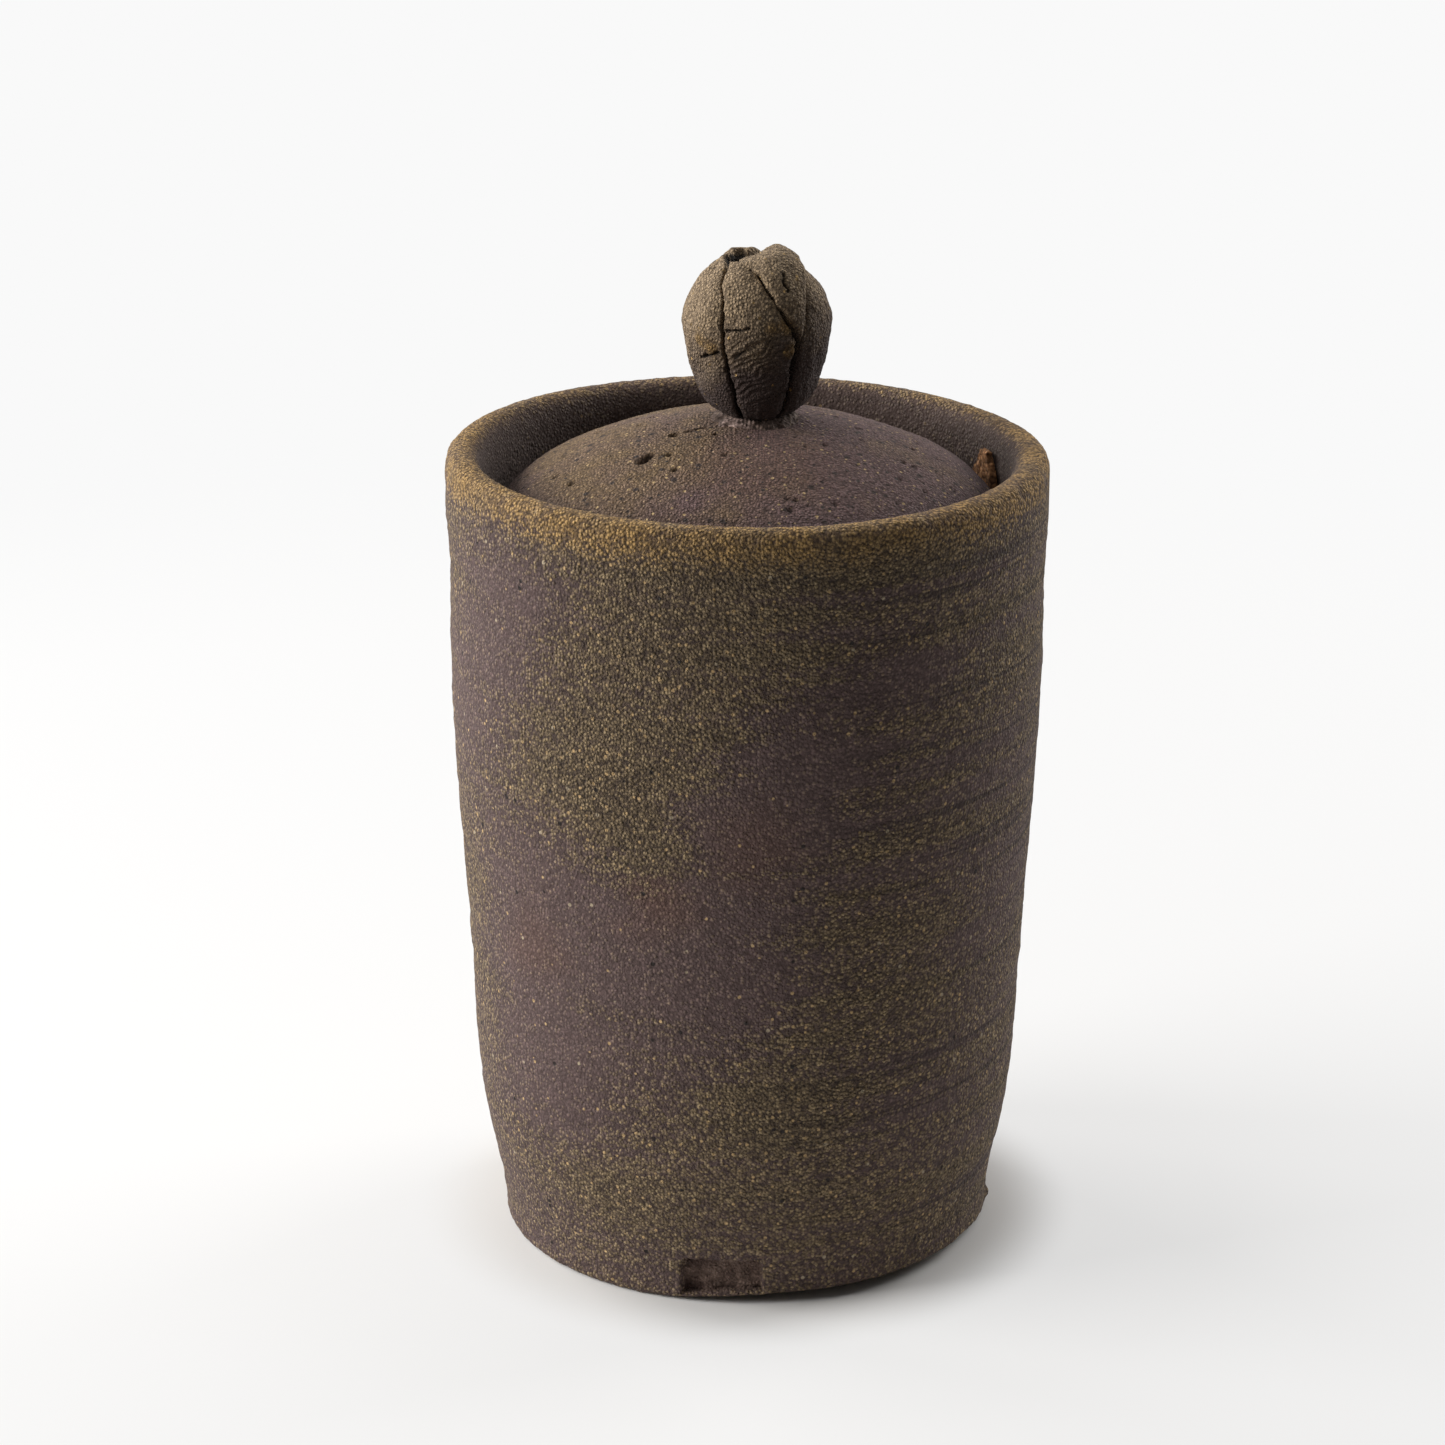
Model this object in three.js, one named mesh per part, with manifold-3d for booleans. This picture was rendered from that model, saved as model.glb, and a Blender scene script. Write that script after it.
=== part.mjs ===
// Lidded stoneware seed jar: a thrown jar with a gallery inside its rim, a domed lid that drops
// onto the gallery, and a knob modelled as a split seed pod of separate lobes round a core.
// Millimetres, +Z up. The origin is the centre of the foot, on the surface that the jar stands on.

import * as THREE from "three";
import { mergeVertices } from "three/addons/utils/BufferGeometryUtils.js";
import Module from "manifold-3d";

const wasm = await Module();
wasm.setup();

// Gap left between pieces that are luted to, or laid against, each other
const SEAT_GAP = 0.3;

// Jar, outside
const JAR_HEIGHT = 109; // foot to the crest of the rim
const RIM_RADIUS = 40; // widest part of the rim
const RIM_ROUND = 3.2; // roll of the rim's outer edge
const NECK_PULL = 0.65; // how far the wall is drawn in under the rim
const BELLY_INSET = 0.2; // belly, in from the rim
const BELLY_DROP = 23; // belly, down from the crest
const HEEL_INSET = 3.1; // top of the heel, in from the rim
const HEEL_HEIGHT = 24; // top of the heel, above the foot
const HEEL_TURN = 8.5; // length over which the heel turns up into the wall
const FOOT_INSET = 6.6; // foot, in from the rim
const FOOT_HEIGHT = 3.5; // upright band at the foot
const FOOT_ROUND = 1.2; // worn edge under the foot

// Jar, inside
const WALL = 5; // thrown wall
const FLOOR = 6.5; // floor of the jar
const FLOOR_SWEEP = 7; // width of the turn from floor to wall
const RIM_THICKNESS = 5.2; // outside of the rim to the gallery's wall
const RIM_BEVEL = 4.5; // height of the sloped inner edge of the rim
const GALLERY_DEPTH = 10; // crest of the rim to the ledge that carries the lid
const LEDGE_WIDTH = 4.8;
const LEDGE_THICKNESS = 4;
const LEDGE_ROUND = 1;
const LEDGE_RAMP = 8; // height over which the ledge runs back into the wall below

// Blank sunken panel pressed into the foot
const MARK_WIDTH = 11.3;
const MARK_HEIGHT = 5.8;
const MARK_DEPTH = 0.8;
const MARK_LIFT = 0.6; // lower edge, above the foot
const MARK_CORNER = 1.4;
const MARK_AZIMUTH = -6; // degrees from the front, towards +X

// Chip of refractory wad left on the gallery's wall, which also sets the room round the lid
const WAD_THICKNESS = 0.7;
const WAD_WIDTH = 3.2;
const WAD_HEIGHT = 4.6;
const WAD_LIFT = 1.6; // lower end, above the ledge
const WAD_AZIMUTH = 111; // degrees from the front, towards +X

// Lid
const LID_EDGE = 3.7; // upright edge
const LID_ROUND = 0.9; // rounded arrises of the edge
const LID_RISE = 10.4; // dome above the edge
const LID_SEAT = 5; // flat ring that bears on the ledge
const LID_CROWN = 4.5; // thickness at the top of the dome

// Knob
const KNOB_RADIUS = 9.7; // at the widest
const KNOB_WAIST = 12.3; // foot to the widest part
const KNOB_UPPER = 10.1; // widest part to the highest tip
const KNOB_FOOT = 4.6; // radius where it stands on the slip
const KNOB_TIP = 3.6; // outer radius of the lobes' tips
const KNOB_OFFSET = 1.1; // off the lid's centre, towards +X
const TIP_HOLE = 1.2; // radius of the hole left between the tips
const TIP_LEAN = 1.9; // how much lower the lobes' inner tips lie
const CORE_RADIUS = 2.6;
const CORE_SHARE = 0.6; // how far up the lobes' inner face the core reaches
const CLEFT = 0.6; // width of the splits between lobes
const SLIP_THICKNESS = 0.8; // luting slip between lid and knob
const SLIP_SPREAD = 1.5; // slip squeezed out round the knob's foot
const LAND_MARGIN = 0.5; // flat crown of the lid, past the slip

// Splits between the lobes, in degrees from the front towards +X, at the foot and at the tip.
// A lobe lies between its own split and the next.
const TWIST_POWER = 1.5; // the splits turn mostly near the tip
const LOBES = [
  { name: "seed_lobe_front", split: { foot: -31, tip: -42 }, tipDrop: 2.2, start: 0 },
  { name: "seed_lobe_cap", split: { foot: 43, tip: -4 }, tipDrop: 0, start: 0.3 },
  { name: "seed_lobe_right", split: { foot: 58, tip: 80 }, tipDrop: 3.2, start: 0 },
  { name: "seed_lobe_back", split: { foot: 125, tip: 135 }, tipDrop: 0.7, start: 0 },
  { name: "seed_lobe_back_left", split: { foot: 185, tip: 200 }, tipDrop: 1.4, start: 0 },
  { name: "seed_lobe_left", split: { foot: 250, tip: 245 }, tipDrop: 1.7, start: 0 },
];

// Fineness of the facets
const TURNS = 60; // sides of the jar and lid
const ROUND_STEPS = 3; // facets round a small edge or a gentle bend
const SWEEP_STEPS = 5; // facets along a long curve
const DOME_STEPS = 8; // facets from the lid's crown to its edge
const KNOB_TURNS = 24; // sides of the slip and the core
const CORE_STEPS = 6; // rings up the core
const LOBE_STATIONS = 13; // rings along a lobe
const LOBE_SIDES = 16; // points round a lobe
const LOBE_END = 0.06; // share of a lobe's length that rounds off at each end
const LOBE_SQUARENESS = 0.5; // 1 is an ellipse, smaller is squarer

// Sizes that follow from the ones above
const footRadius = RIM_RADIUS - FOOT_INSET;
const heelRadius = RIM_RADIUS - HEEL_INSET;
const bellyRadius = RIM_RADIUS - BELLY_INSET;
const galleryRadius = RIM_RADIUS - RIM_THICKNESS;
const ledgeHeight = JAR_HEIGHT - GALLERY_DEPTH;
const lidRadius = galleryRadius - WAD_THICKNESS - 2 * SEAT_GAP;
const lidEdgeTop = ledgeHeight + LID_EDGE;
const lidTop = lidEdgeTop + LID_RISE;
const slipRadius = KNOB_FOOT + SLIP_SPREAD;
const landRadius = slipRadius + KNOB_OFFSET + LAND_MARGIN;
const lobeFace = CORE_RADIUS + SEAT_GAP;
const knobHeight = KNOB_WAIST + KNOB_UPPER;

const WELD = 1e-4; // points closer than this are one
const QUARTER = Math.PI / 2;
const radians = THREE.MathUtils.degToRad;
const at = (radius, height) => new THREE.Vector2(radius, height);

// A profile from single points and from [curve, steps] stretches, with no point twice in a row.
function outline(...stretches) {
  const points = stretches.flatMap((part) => (part.isVector2 ? [part] : part[0].getPoints(part[1])));
  return points.filter((point, i) => i === 0 || point.distanceTo(points[i - 1]) > WELD);
}

const bend = (start, control, end) => new THREE.QuadraticBezierCurve(start, control, end);
const quarterArc = (x, y, xRadius, yRadius, from) =>
  new THREE.EllipseCurve(x, y, xRadius, yRadius, from, from + QUARTER);

// A profile turned about the +Z axis.
function turned(profile, sides) {
  return new THREE.LatheGeometry(profile, sides).rotateX(QUARTER);
}

// A geometry as a solid for cutting, and a cut solid as a geometry.
function solidOf(geometry) {
  const bare = new THREE.BufferGeometry().setAttribute("position", geometry.getAttribute("position"));
  const merged = mergeVertices(geometry.index ? bare.setIndex(geometry.index) : bare, WELD);
  return new wasm.Manifold(
    new wasm.Mesh({
      numProp: 3,
      vertProperties: merged.attributes.position.array,
      triVerts: new Uint32Array(merged.index.array),
    }),
  );
}

function geometryOf(solid) {
  const mesh = solid.getMesh();
  const geometry = new THREE.BufferGeometry();
  geometry.setAttribute("position", new THREE.BufferAttribute(mesh.vertProperties, 3));
  geometry.setIndex(new THREE.BufferAttribute(mesh.triVerts, 1));
  geometry.computeVertexNormals();
  return geometry;
}

// Jar: foot, heel, wall, rim, gallery and inside, thrown in one piece.
function jarProfile() {
  const footTop = at(footRadius, FOOT_HEIGHT);
  const heel = at(heelRadius, HEEL_HEIGHT);
  const belly = at(bellyRadius, JAR_HEIGHT - BELLY_DROP);
  const rimSide = at(RIM_RADIUS, JAR_HEIGHT - RIM_ROUND);
  const third = (belly.y - heel.y) / 3;
  const lean = (belly.x - heel.x) / (belly.y - heel.y);
  const heelKnee = at(heel.x - lean * HEEL_TURN, heel.y - HEEL_TURN);
  const wallOut = at(heel.x + lean * third, heel.y + third);
  const wallIn = at(belly.x, belly.y - third);
  const neckWaist = at(RIM_RADIUS - NECK_PULL, (belly.y + rimSide.y) / 2);

  const crest = RIM_RADIUS - RIM_ROUND;
  const bevelWidth = RIM_THICKNESS - RIM_ROUND;
  const ledgeEdge = galleryRadius - LEDGE_WIDTH;
  const ledgeLip = ledgeHeight - LEDGE_ROUND;
  const ledgeUnder = ledgeHeight - LEDGE_THICKNESS;
  const shoulder = at(bellyRadius - WALL, ledgeUnder - LEDGE_RAMP);
  const innerHeel = at(heelRadius - WALL, HEEL_HEIGHT);
  const innerThird = (shoulder.y - innerHeel.y) / 3;
  const innerOut = at(innerHeel.x + lean * innerThird, innerHeel.y + innerThird);
  const innerIn = at(shoulder.x, shoulder.y - innerThird);
  const floorTurn = at(footRadius - WALL, FLOOR);

  return outline(
    at(0, 0),
    [quarterArc(footRadius - FOOT_ROUND, FOOT_ROUND, FOOT_ROUND, FOOT_ROUND, -QUARTER), ROUND_STEPS],
    footTop,
    [bend(footTop, heelKnee, heel), SWEEP_STEPS],
    [new THREE.CubicBezierCurve(heel, wallOut, wallIn, belly), SWEEP_STEPS],
    [bend(belly, neckWaist, rimSide), ROUND_STEPS],
    [quarterArc(crest, JAR_HEIGHT - RIM_ROUND, RIM_ROUND, RIM_ROUND, 0), ROUND_STEPS],
    [quarterArc(crest, JAR_HEIGHT - RIM_BEVEL, bevelWidth, RIM_BEVEL, QUARTER), ROUND_STEPS],
    at(galleryRadius, ledgeHeight),
    [quarterArc(ledgeEdge + LEDGE_ROUND, ledgeLip, LEDGE_ROUND, LEDGE_ROUND, QUARTER), ROUND_STEPS],
    [bend(at(ledgeEdge, ledgeUnder), at(shoulder.x, ledgeUnder), shoulder), ROUND_STEPS],
    [new THREE.CubicBezierCurve(shoulder, innerIn, innerOut, innerHeel), ROUND_STEPS],
    [bend(innerHeel, floorTurn, at(footRadius - WALL - FLOOR_SWEEP, FLOOR)), SWEEP_STEPS],
    at(0, FLOOR),
  );
}

function markTool() {
  const half = MARK_WIDTH / 2;
  const low = MARK_LIFT;
  const high = MARK_LIFT + MARK_HEIGHT;
  const panel = new THREE.Shape();
  panel.moveTo(-half, low + MARK_CORNER);
  panel.absarc(-half + MARK_CORNER, low + MARK_CORNER, MARK_CORNER, 2 * QUARTER, 3 * QUARTER);
  panel.absarc(half - MARK_CORNER, low + MARK_CORNER, MARK_CORNER, 3 * QUARTER, 4 * QUARTER);
  panel.absarc(half - MARK_CORNER, high - MARK_CORNER, MARK_CORNER, 0, QUARTER);
  panel.absarc(-half + MARK_CORNER, high - MARK_CORNER, MARK_CORNER, QUARTER, 2 * QUARTER);
  const reach = FOOT_INSET + 2 * MARK_DEPTH;
  return new THREE.ExtrudeGeometry(panel, { depth: reach, bevelEnabled: false, curveSegments: ROUND_STEPS })
    .rotateX(QUARTER)
    .translate(0, MARK_DEPTH - footRadius, 0)
    .rotateZ(radians(MARK_AZIMUTH));
}

function jarBody() {
  const thrown = solidOf(turned(jarProfile(), TURNS));
  return geometryOf(thrown.subtract(solidOf(markTool())));
}

// Wad chip: a leaf-shaped flake standing against the gallery's wall, point up.
function kilnWad() {
  const half = WAD_WIDTH / 2;
  const leaf = new THREE.Shape();
  leaf.moveTo(-half, 0);
  leaf.lineTo(half, 0);
  leaf.quadraticCurveTo(half, WAD_HEIGHT / 2, 0, WAD_HEIGHT);
  leaf.quadraticCurveTo(-half, WAD_HEIGHT / 2, -half, 0);
  const chord = galleryRadius * Math.cos(Math.asin(half / galleryRadius)) * Math.cos(Math.PI / TURNS);
  const flake = { depth: WAD_THICKNESS, bevelEnabled: false, curveSegments: SWEEP_STEPS };
  return new THREE.ExtrudeGeometry(leaf, flake)
    .rotateX(QUARTER)
    .translate(0, SEAT_GAP + WAD_THICKNESS - chord, ledgeHeight + WAD_LIFT)
    .rotateZ(radians(WAD_AZIMUTH));
}

// Lid: a shallow dome with an upright edge, hollow underneath.
function lidDome() {
  const hollow = lidRadius - LID_SEAT;
  const under = lidTop - LID_CROWN;
  const edgeCentre = lidRadius - LID_ROUND;
  const shoulder = at(edgeCentre, lidEdgeTop + LID_ROUND / 2);
  return turned(
    outline(
      [bend(at(0, under), at(hollow / 2, under), at(hollow, ledgeHeight)), DOME_STEPS],
      [quarterArc(edgeCentre, ledgeHeight + LID_ROUND, LID_ROUND, LID_ROUND, -QUARTER), ROUND_STEPS],
      [bend(at(lidRadius, lidEdgeTop - LID_ROUND), at(lidRadius, lidEdgeTop), shoulder), ROUND_STEPS],
      [bend(shoulder, at((lidRadius + landRadius) / 2, lidTop), at(landRadius, lidTop)), DOME_STEPS],
      at(0, lidTop),
    ),
    TURNS,
  );
}

// Luting slip: a thin pad on the lid's crown, thinning towards its edge.
function lutingSlip() {
  const edge = at(slipRadius, 0);
  const top = at(KNOB_FOOT, SLIP_THICKNESS);
  return turned(
    outline(at(0, 0), [bend(edge, at(KNOB_FOOT, 0), top), ROUND_STEPS], at(0, SLIP_THICKNESS)),
    KNOB_TURNS,
  );
}

// Outer and inner lines of a lobe, from its foot to its tip, as radius and height above the slip.
function lobeOuterLine(tip) {
  const line = new THREE.CurvePath();
  const lowerHeight = KNOB_WAIST - SEAT_GAP;
  line.add(quarterArc(KNOB_FOOT, KNOB_WAIST, KNOB_RADIUS - KNOB_FOOT, lowerHeight, -QUARTER));
  line.add(quarterArc(KNOB_TIP, KNOB_WAIST, KNOB_RADIUS - KNOB_TIP, tip - KNOB_WAIST, 0));
  return line;
}

function lobeInnerLine(tip) {
  return bend(at(lobeFace, SEAT_GAP), at(lobeFace, tip - TIP_LEAN), at(TIP_HOLE, tip - TIP_LEAN));
}

// Core: the peg that the lobes are pressed round, following their inner faces at the seat gap.
function seedCore() {
  const lowestTip = knobHeight - Math.max(...LOBES.map((lobe) => lobe.tipDrop));
  const face = lobeInnerLine(lowestTip);
  const peg = [];
  for (let i = 0; i <= CORE_STEPS; i += 1) {
    const point = face.getPoint((CORE_SHARE * i) / CORE_STEPS);
    peg.push(at(point.x - SEAT_GAP, point.y - SEAT_GAP));
  }
  return turned(outline(at(0, 0), ...peg, at(0, peg.at(-1).y)), KNOB_TURNS);
}

const signedPower = (value, power) => Math.sign(value) * Math.abs(value) ** power;

// Share of its full size that a lobe has at u, from 0 at its foot to 1 at its tip.
function endRounding(u) {
  const toEnd = Math.min(u, 1 - u) / LOBE_END;
  return toEnd >= 1 ? 1 : Math.sqrt(1 - (1 - toEnd) ** 2);
}

// One lobe: rings of a rounded wedge between its two splits, closed by a point at each end.
function seedLobe({ split, tipDrop, start }, next) {
  const outer = lobeOuterLine(knobHeight - tipDrop);
  const inner = lobeInnerLine(knobHeight - tipDrop);
  const positions = [];
  const faces = [];
  const turnAt = (s, u) => radians(s.foot + (s.tip - s.foot) * u ** TWIST_POWER);
  const put = (angle, radius, height) =>
    positions.push(radius * Math.sin(angle), -radius * Math.cos(angle), height);

  for (let i = 0; i <= LOBE_STATIONS; i += 1) {
    const along = (1 - Math.cos((Math.PI * i) / LOBE_STATIONS)) / 2;
    const u = start + (1 - start) * along;
    const face = inner.getPoint(u);
    const skin = outer.getPointAt(u);
    const middle = face.clone().lerp(skin, 0.5);
    const depth = skin.clone().sub(middle);
    const from = turnAt(split, u);
    const to = turnAt(next, u);
    const centre = (from + to) / 2;
    if (i === 0 || i === LOBE_STATIONS) {
      put(centre, middle.x, middle.y);
      continue;
    }
    const size = endRounding(along);
    const halfTurn = ((to - from) / 2 - Math.asin(CLEFT / 2 / middle.x)) * size;
    for (let j = 0; j < LOBE_SIDES; j += 1) {
      const round = (2 * Math.PI * j) / LOBE_SIDES;
      const across = signedPower(Math.cos(round), LOBE_SQUARENESS);
      const out = signedPower(Math.sin(round), LOBE_SQUARENESS) * size;
      put(centre + halfTurn * across, middle.x + depth.x * out, middle.y + depth.y * out);
    }
  }

  const last = positions.length / 3 - 1;
  const ring = (i, j) => 1 + (i - 1) * LOBE_SIDES + (j % LOBE_SIDES);
  for (let j = 0; j < LOBE_SIDES; j += 1) {
    faces.push(0, ring(1, j), ring(1, j + 1));
    for (let i = 1; i < LOBE_STATIONS - 1; i += 1) {
      faces.push(ring(i, j), ring(i + 1, j), ring(i + 1, j + 1));
      faces.push(ring(i, j), ring(i + 1, j + 1), ring(i, j + 1));
    }
    faces.push(last, ring(LOBE_STATIONS - 1, j + 1), ring(LOBE_STATIONS - 1, j));
  }
  const geometry = new THREE.BufferGeometry();
  geometry.setAttribute("position", new THREE.Float32BufferAttribute(positions, 3));
  geometry.setIndex(faces);
  geometry.computeVertexNormals();
  return geometry;
}

// Materials: one dark iron-bearing stoneware, with paler slip and orange wad clay
const clay = (color, roughness) => new THREE.MeshStandardMaterial({ color, roughness, metalness: 0 });
const wallClay = clay(0x4a3d32, 0.88);
const lidClay = clay(0x4b3e37, 0.85);
const podClay = clay(0x463a2e, 0.9);
const slipClay = clay(0x6b5850, 0.92);
const wadClay = clay(0x8a5a34, 0.95);

function piece(name, geometry, material) {
  const mesh = new THREE.Mesh(geometry, material);
  mesh.name = name;
  return mesh;
}

const jar = new THREE.Group();
jar.add(piece("jar_body", jarBody(), wallClay));
jar.add(piece("kiln_wad", kilnWad(), wadClay));

const lid = new THREE.Group();
lid.add(piece("lid_dome", lidDome(), lidClay));

const knob = new THREE.Group();
knob.position.set(KNOB_OFFSET, 0, lidTop);
knob.add(piece("luting_slip", lutingSlip(), slipClay));

const pod = new THREE.Group();
pod.position.z = SLIP_THICKNESS;
pod.add(piece("seed_core", seedCore(), podClay));
LOBES.forEach((lobe, i) => {
  const following = LOBES[(i + 1) % LOBES.length].split;
  const turn = i + 1 < LOBES.length ? 0 : 360;
  const next = { foot: following.foot + turn, tip: following.tip + turn };
  pod.add(piece(lobe.name, seedLobe(lobe, next), podClay));
});
knob.add(pod);
lid.add(knob);
jar.add(lid);

export default jar;
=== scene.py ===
import math
import random
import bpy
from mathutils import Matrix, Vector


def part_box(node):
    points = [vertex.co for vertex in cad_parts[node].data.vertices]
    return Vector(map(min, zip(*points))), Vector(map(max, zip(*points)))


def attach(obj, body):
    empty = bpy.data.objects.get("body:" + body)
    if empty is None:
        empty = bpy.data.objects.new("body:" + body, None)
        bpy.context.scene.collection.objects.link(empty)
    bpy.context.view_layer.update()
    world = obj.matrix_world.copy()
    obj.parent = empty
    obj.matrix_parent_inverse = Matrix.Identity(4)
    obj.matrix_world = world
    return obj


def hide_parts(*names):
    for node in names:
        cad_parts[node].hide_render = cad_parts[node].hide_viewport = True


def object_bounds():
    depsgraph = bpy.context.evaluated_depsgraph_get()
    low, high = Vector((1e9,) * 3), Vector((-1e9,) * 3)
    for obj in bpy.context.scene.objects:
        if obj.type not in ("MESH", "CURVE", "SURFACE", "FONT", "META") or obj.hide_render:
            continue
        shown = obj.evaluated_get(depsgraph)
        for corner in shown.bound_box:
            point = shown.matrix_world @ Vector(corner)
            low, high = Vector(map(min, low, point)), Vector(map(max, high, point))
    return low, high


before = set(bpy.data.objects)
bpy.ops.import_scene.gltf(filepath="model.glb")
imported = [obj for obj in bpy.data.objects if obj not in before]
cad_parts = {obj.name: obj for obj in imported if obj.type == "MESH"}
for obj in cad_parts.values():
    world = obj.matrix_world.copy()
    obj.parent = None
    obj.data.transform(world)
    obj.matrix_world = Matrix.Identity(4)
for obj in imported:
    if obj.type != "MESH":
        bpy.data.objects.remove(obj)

from types import SimpleNamespace

import bmesh
import bpy
from mathutils import Vector, noise
from mathutils.kdtree import KDTree

cad_low, cad_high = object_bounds()
MM = 0.001

# Jar body. A cylinder of dark iron stoneware, thrown on the wheel in one piece with a rolled rim, a
# flat foot and an inner ledge that carries the lid. It was fired bare in a wood kiln, so its grit
# stands open and the flying ash has coloured it.
jar_low, jar_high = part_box("jar_body")
lid_low, lid_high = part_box("lid_dome")
RIM = jar_high.x / MM
LEDGE = lid_low.z / MM
SOFT = "AUTO"
SHARP = "VECTOR"

# Each point of the section is its radius, its height and its bend
JAR_UNDERSIDE = [
    (0, jar_low.z / MM, SHARP),
    (RIM - 8.4, jar_low.z / MM, SHARP),
]
JAR_OUTSIDE = [
    (RIM - 8.4, jar_low.z / MM, SHARP),
    (RIM - 7.2, 0.05, SOFT),
    (RIM - 6.7, 0.4, SOFT),
    (RIM - 6.6, 1.6, SOFT),
    (RIM - 6.4, 4.2, SOFT),
    (RIM - 5.85, 8, SOFT),
    (RIM - 4.85, 12.5, SOFT),
    (RIM - 4, 17, SOFT),
    (RIM - 3.15, 24.5, SOFT),
    (RIM - 2.6, 36, SOFT),
    (RIM - 1.7, 52, SOFT),
    (RIM - 0.85, 68, SOFT),
    (RIM - 0.3, 82, SOFT),
    (RIM - 0.45, 94, SOFT),
    (RIM - 0.15, 100.5, SOFT),
    (RIM - 0.05, 104, SOFT),
    (RIM - 0.1, 107, SOFT),
    (RIM - 0.75, 108.5, SOFT),
    (RIM - 2.2, 109, SOFT),
    (RIM - 3.7, 108.6, SOFT),
    (RIM - 4.7, 107, SOFT),
    (RIM - 5.15, 104.2, SOFT),
    (RIM - 5.25, LEDGE + 0.5, SOFT),
    (RIM - 5.6, LEDGE - 0.1, SOFT),
]
JAR_INSIDE = [
    (RIM - 5.6, LEDGE - 0.1, SOFT),
    (RIM - 9, LEDGE - 0.1, SOFT),
    (RIM - 10, LEDGE - 1, SOFT),
    (RIM - 9.9, LEDGE - 4, SOFT),
    (RIM - 7.3, LEDGE - 5, SOFT),
    (RIM - 5.5, LEDGE - 8.5, SOFT),
    (RIM - 5.3, 82, SOFT),
    (RIM - 6, 62, SOFT),
    (RIM - 8, 26, SOFT),
    (RIM - 11, 14, SOFT),
    (RIM - 16.5, 7.2, SOFT),
    (RIM - 21, 6.5, SHARP),
    (0, 6.5, SHARP),
]
JAR_STEPS = 372
SEEN_SPACING = 0.75
HIDDEN_SPACING = 3.5
STROKE_POINTS = 3
WELD = 0.01


def make_active(piece):
    """Selects one piece alone, for the operators that follow."""
    bpy.ops.object.select_all(action="DESELECT")
    piece.select_set(True)
    bpy.context.view_layer.objects.active = piece


def turned(name, strokes, steps):
    """Draws half a section in strokes, each with its own spacing, and spins it round the jar's axis."""
    drawn = []
    for points, spacing in strokes:
        bpy.ops.object.select_all(action="DESELECT")
        bpy.ops.curve.primitive_bezier_curve_add()
        stroke = bpy.context.object
        line = stroke.data.splines[0]
        line.bezier_points.add(len(points) - 2)
        line.resolution_u = STROKE_POINTS
        for point, (radius, height, bend) in zip(line.bezier_points, points):
            point.co = (radius * MM, 0, height * MM)
            point.handle_left_type = bend
            point.handle_right_type = bend
        bpy.ops.object.convert(target="MESH")
        bpy.ops.object.mode_set(mode="EDIT")
        section = bmesh.from_edit_mesh(stroke.data)
        longest = max(edge.calc_length() for edge in section.edges)
        for cuts in range(math.ceil(longest / (spacing * MM)) - 1, 0, -1):
            bpy.ops.mesh.select_all(action="DESELECT")
            section = bmesh.from_edit_mesh(stroke.data)
            for edge in section.edges:
                edge.select_set(edge.calc_length() > cuts * spacing * MM)
            bpy.ops.mesh.subdivide(number_cuts=cuts)
        bpy.ops.object.mode_set(mode="OBJECT")
        drawn.append(stroke)
    for stroke in drawn:
        stroke.select_set(True)
    bpy.ops.object.join()
    piece = bpy.context.object
    piece.name = name
    bpy.ops.object.mode_set(mode="EDIT")
    bpy.ops.mesh.select_all(action="SELECT")
    bpy.ops.mesh.remove_doubles(threshold=WELD * MM)
    bpy.ops.object.mode_set(mode="OBJECT")
    wheel = piece.modifiers.new("wheel", "SCREW")
    wheel.axis = "Z"
    wheel.angle = math.tau
    wheel.steps = steps
    wheel.render_steps = steps
    wheel.use_merge_vertices = True
    wheel.merge_threshold = WELD * MM
    bpy.ops.object.modifier_apply(modifier=wheel.name)
    bpy.ops.object.mode_set(mode="EDIT")
    bpy.ops.mesh.select_all(action="SELECT")
    bpy.ops.mesh.remove_doubles(threshold=WELD * MM)
    bpy.ops.mesh.normals_make_consistent(inside=False)
    bpy.ops.object.mode_set(mode="OBJECT")
    bpy.ops.object.shade_smooth()
    return piece


def roughen(piece, kind, size, depth, **settings):
    """Lets the clay's own unevenness, a pattern of that size, move the surface by up to that depth."""
    texture = bpy.data.textures.new(f"{piece.name}_{kind.lower()}", kind)
    texture.noise_scale = size * MM
    for key, value in settings.items():
        setattr(texture, key, value)
    make_active(piece)
    modifier = piece.modifiers.new("roughen", "DISPLACE")
    modifier.texture = texture
    modifier.texture_coords = "LOCAL"
    modifier.strength = depth * MM
    modifier.mid_level = 0.5
    bpy.ops.object.modifier_apply(modifier=modifier.name)


def sculpt(piece, stroke):
    """Moves each point of a piece by what stroke(place, normal) gives in millimetres."""
    normals = [vertex.normal.copy() for vertex in piece.data.vertices]
    for vertex, normal in zip(piece.data.vertices, normals):
        vertex.co += stroke(vertex.co / MM, normal) * MM
    piece.data.update()


def ease(value, start, end):
    """Goes smoothly from 0 at start to 1 at end."""
    share = min(max((value - start) / (end - start), 0), 1)
    return share * share * (3 - 2 * share)


def lumps(place, layers):
    """Adds up layers of unevenness, each with its size and its depth."""
    return sum(noise.noise(place / size) * depth for size, depth in layers)


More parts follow.
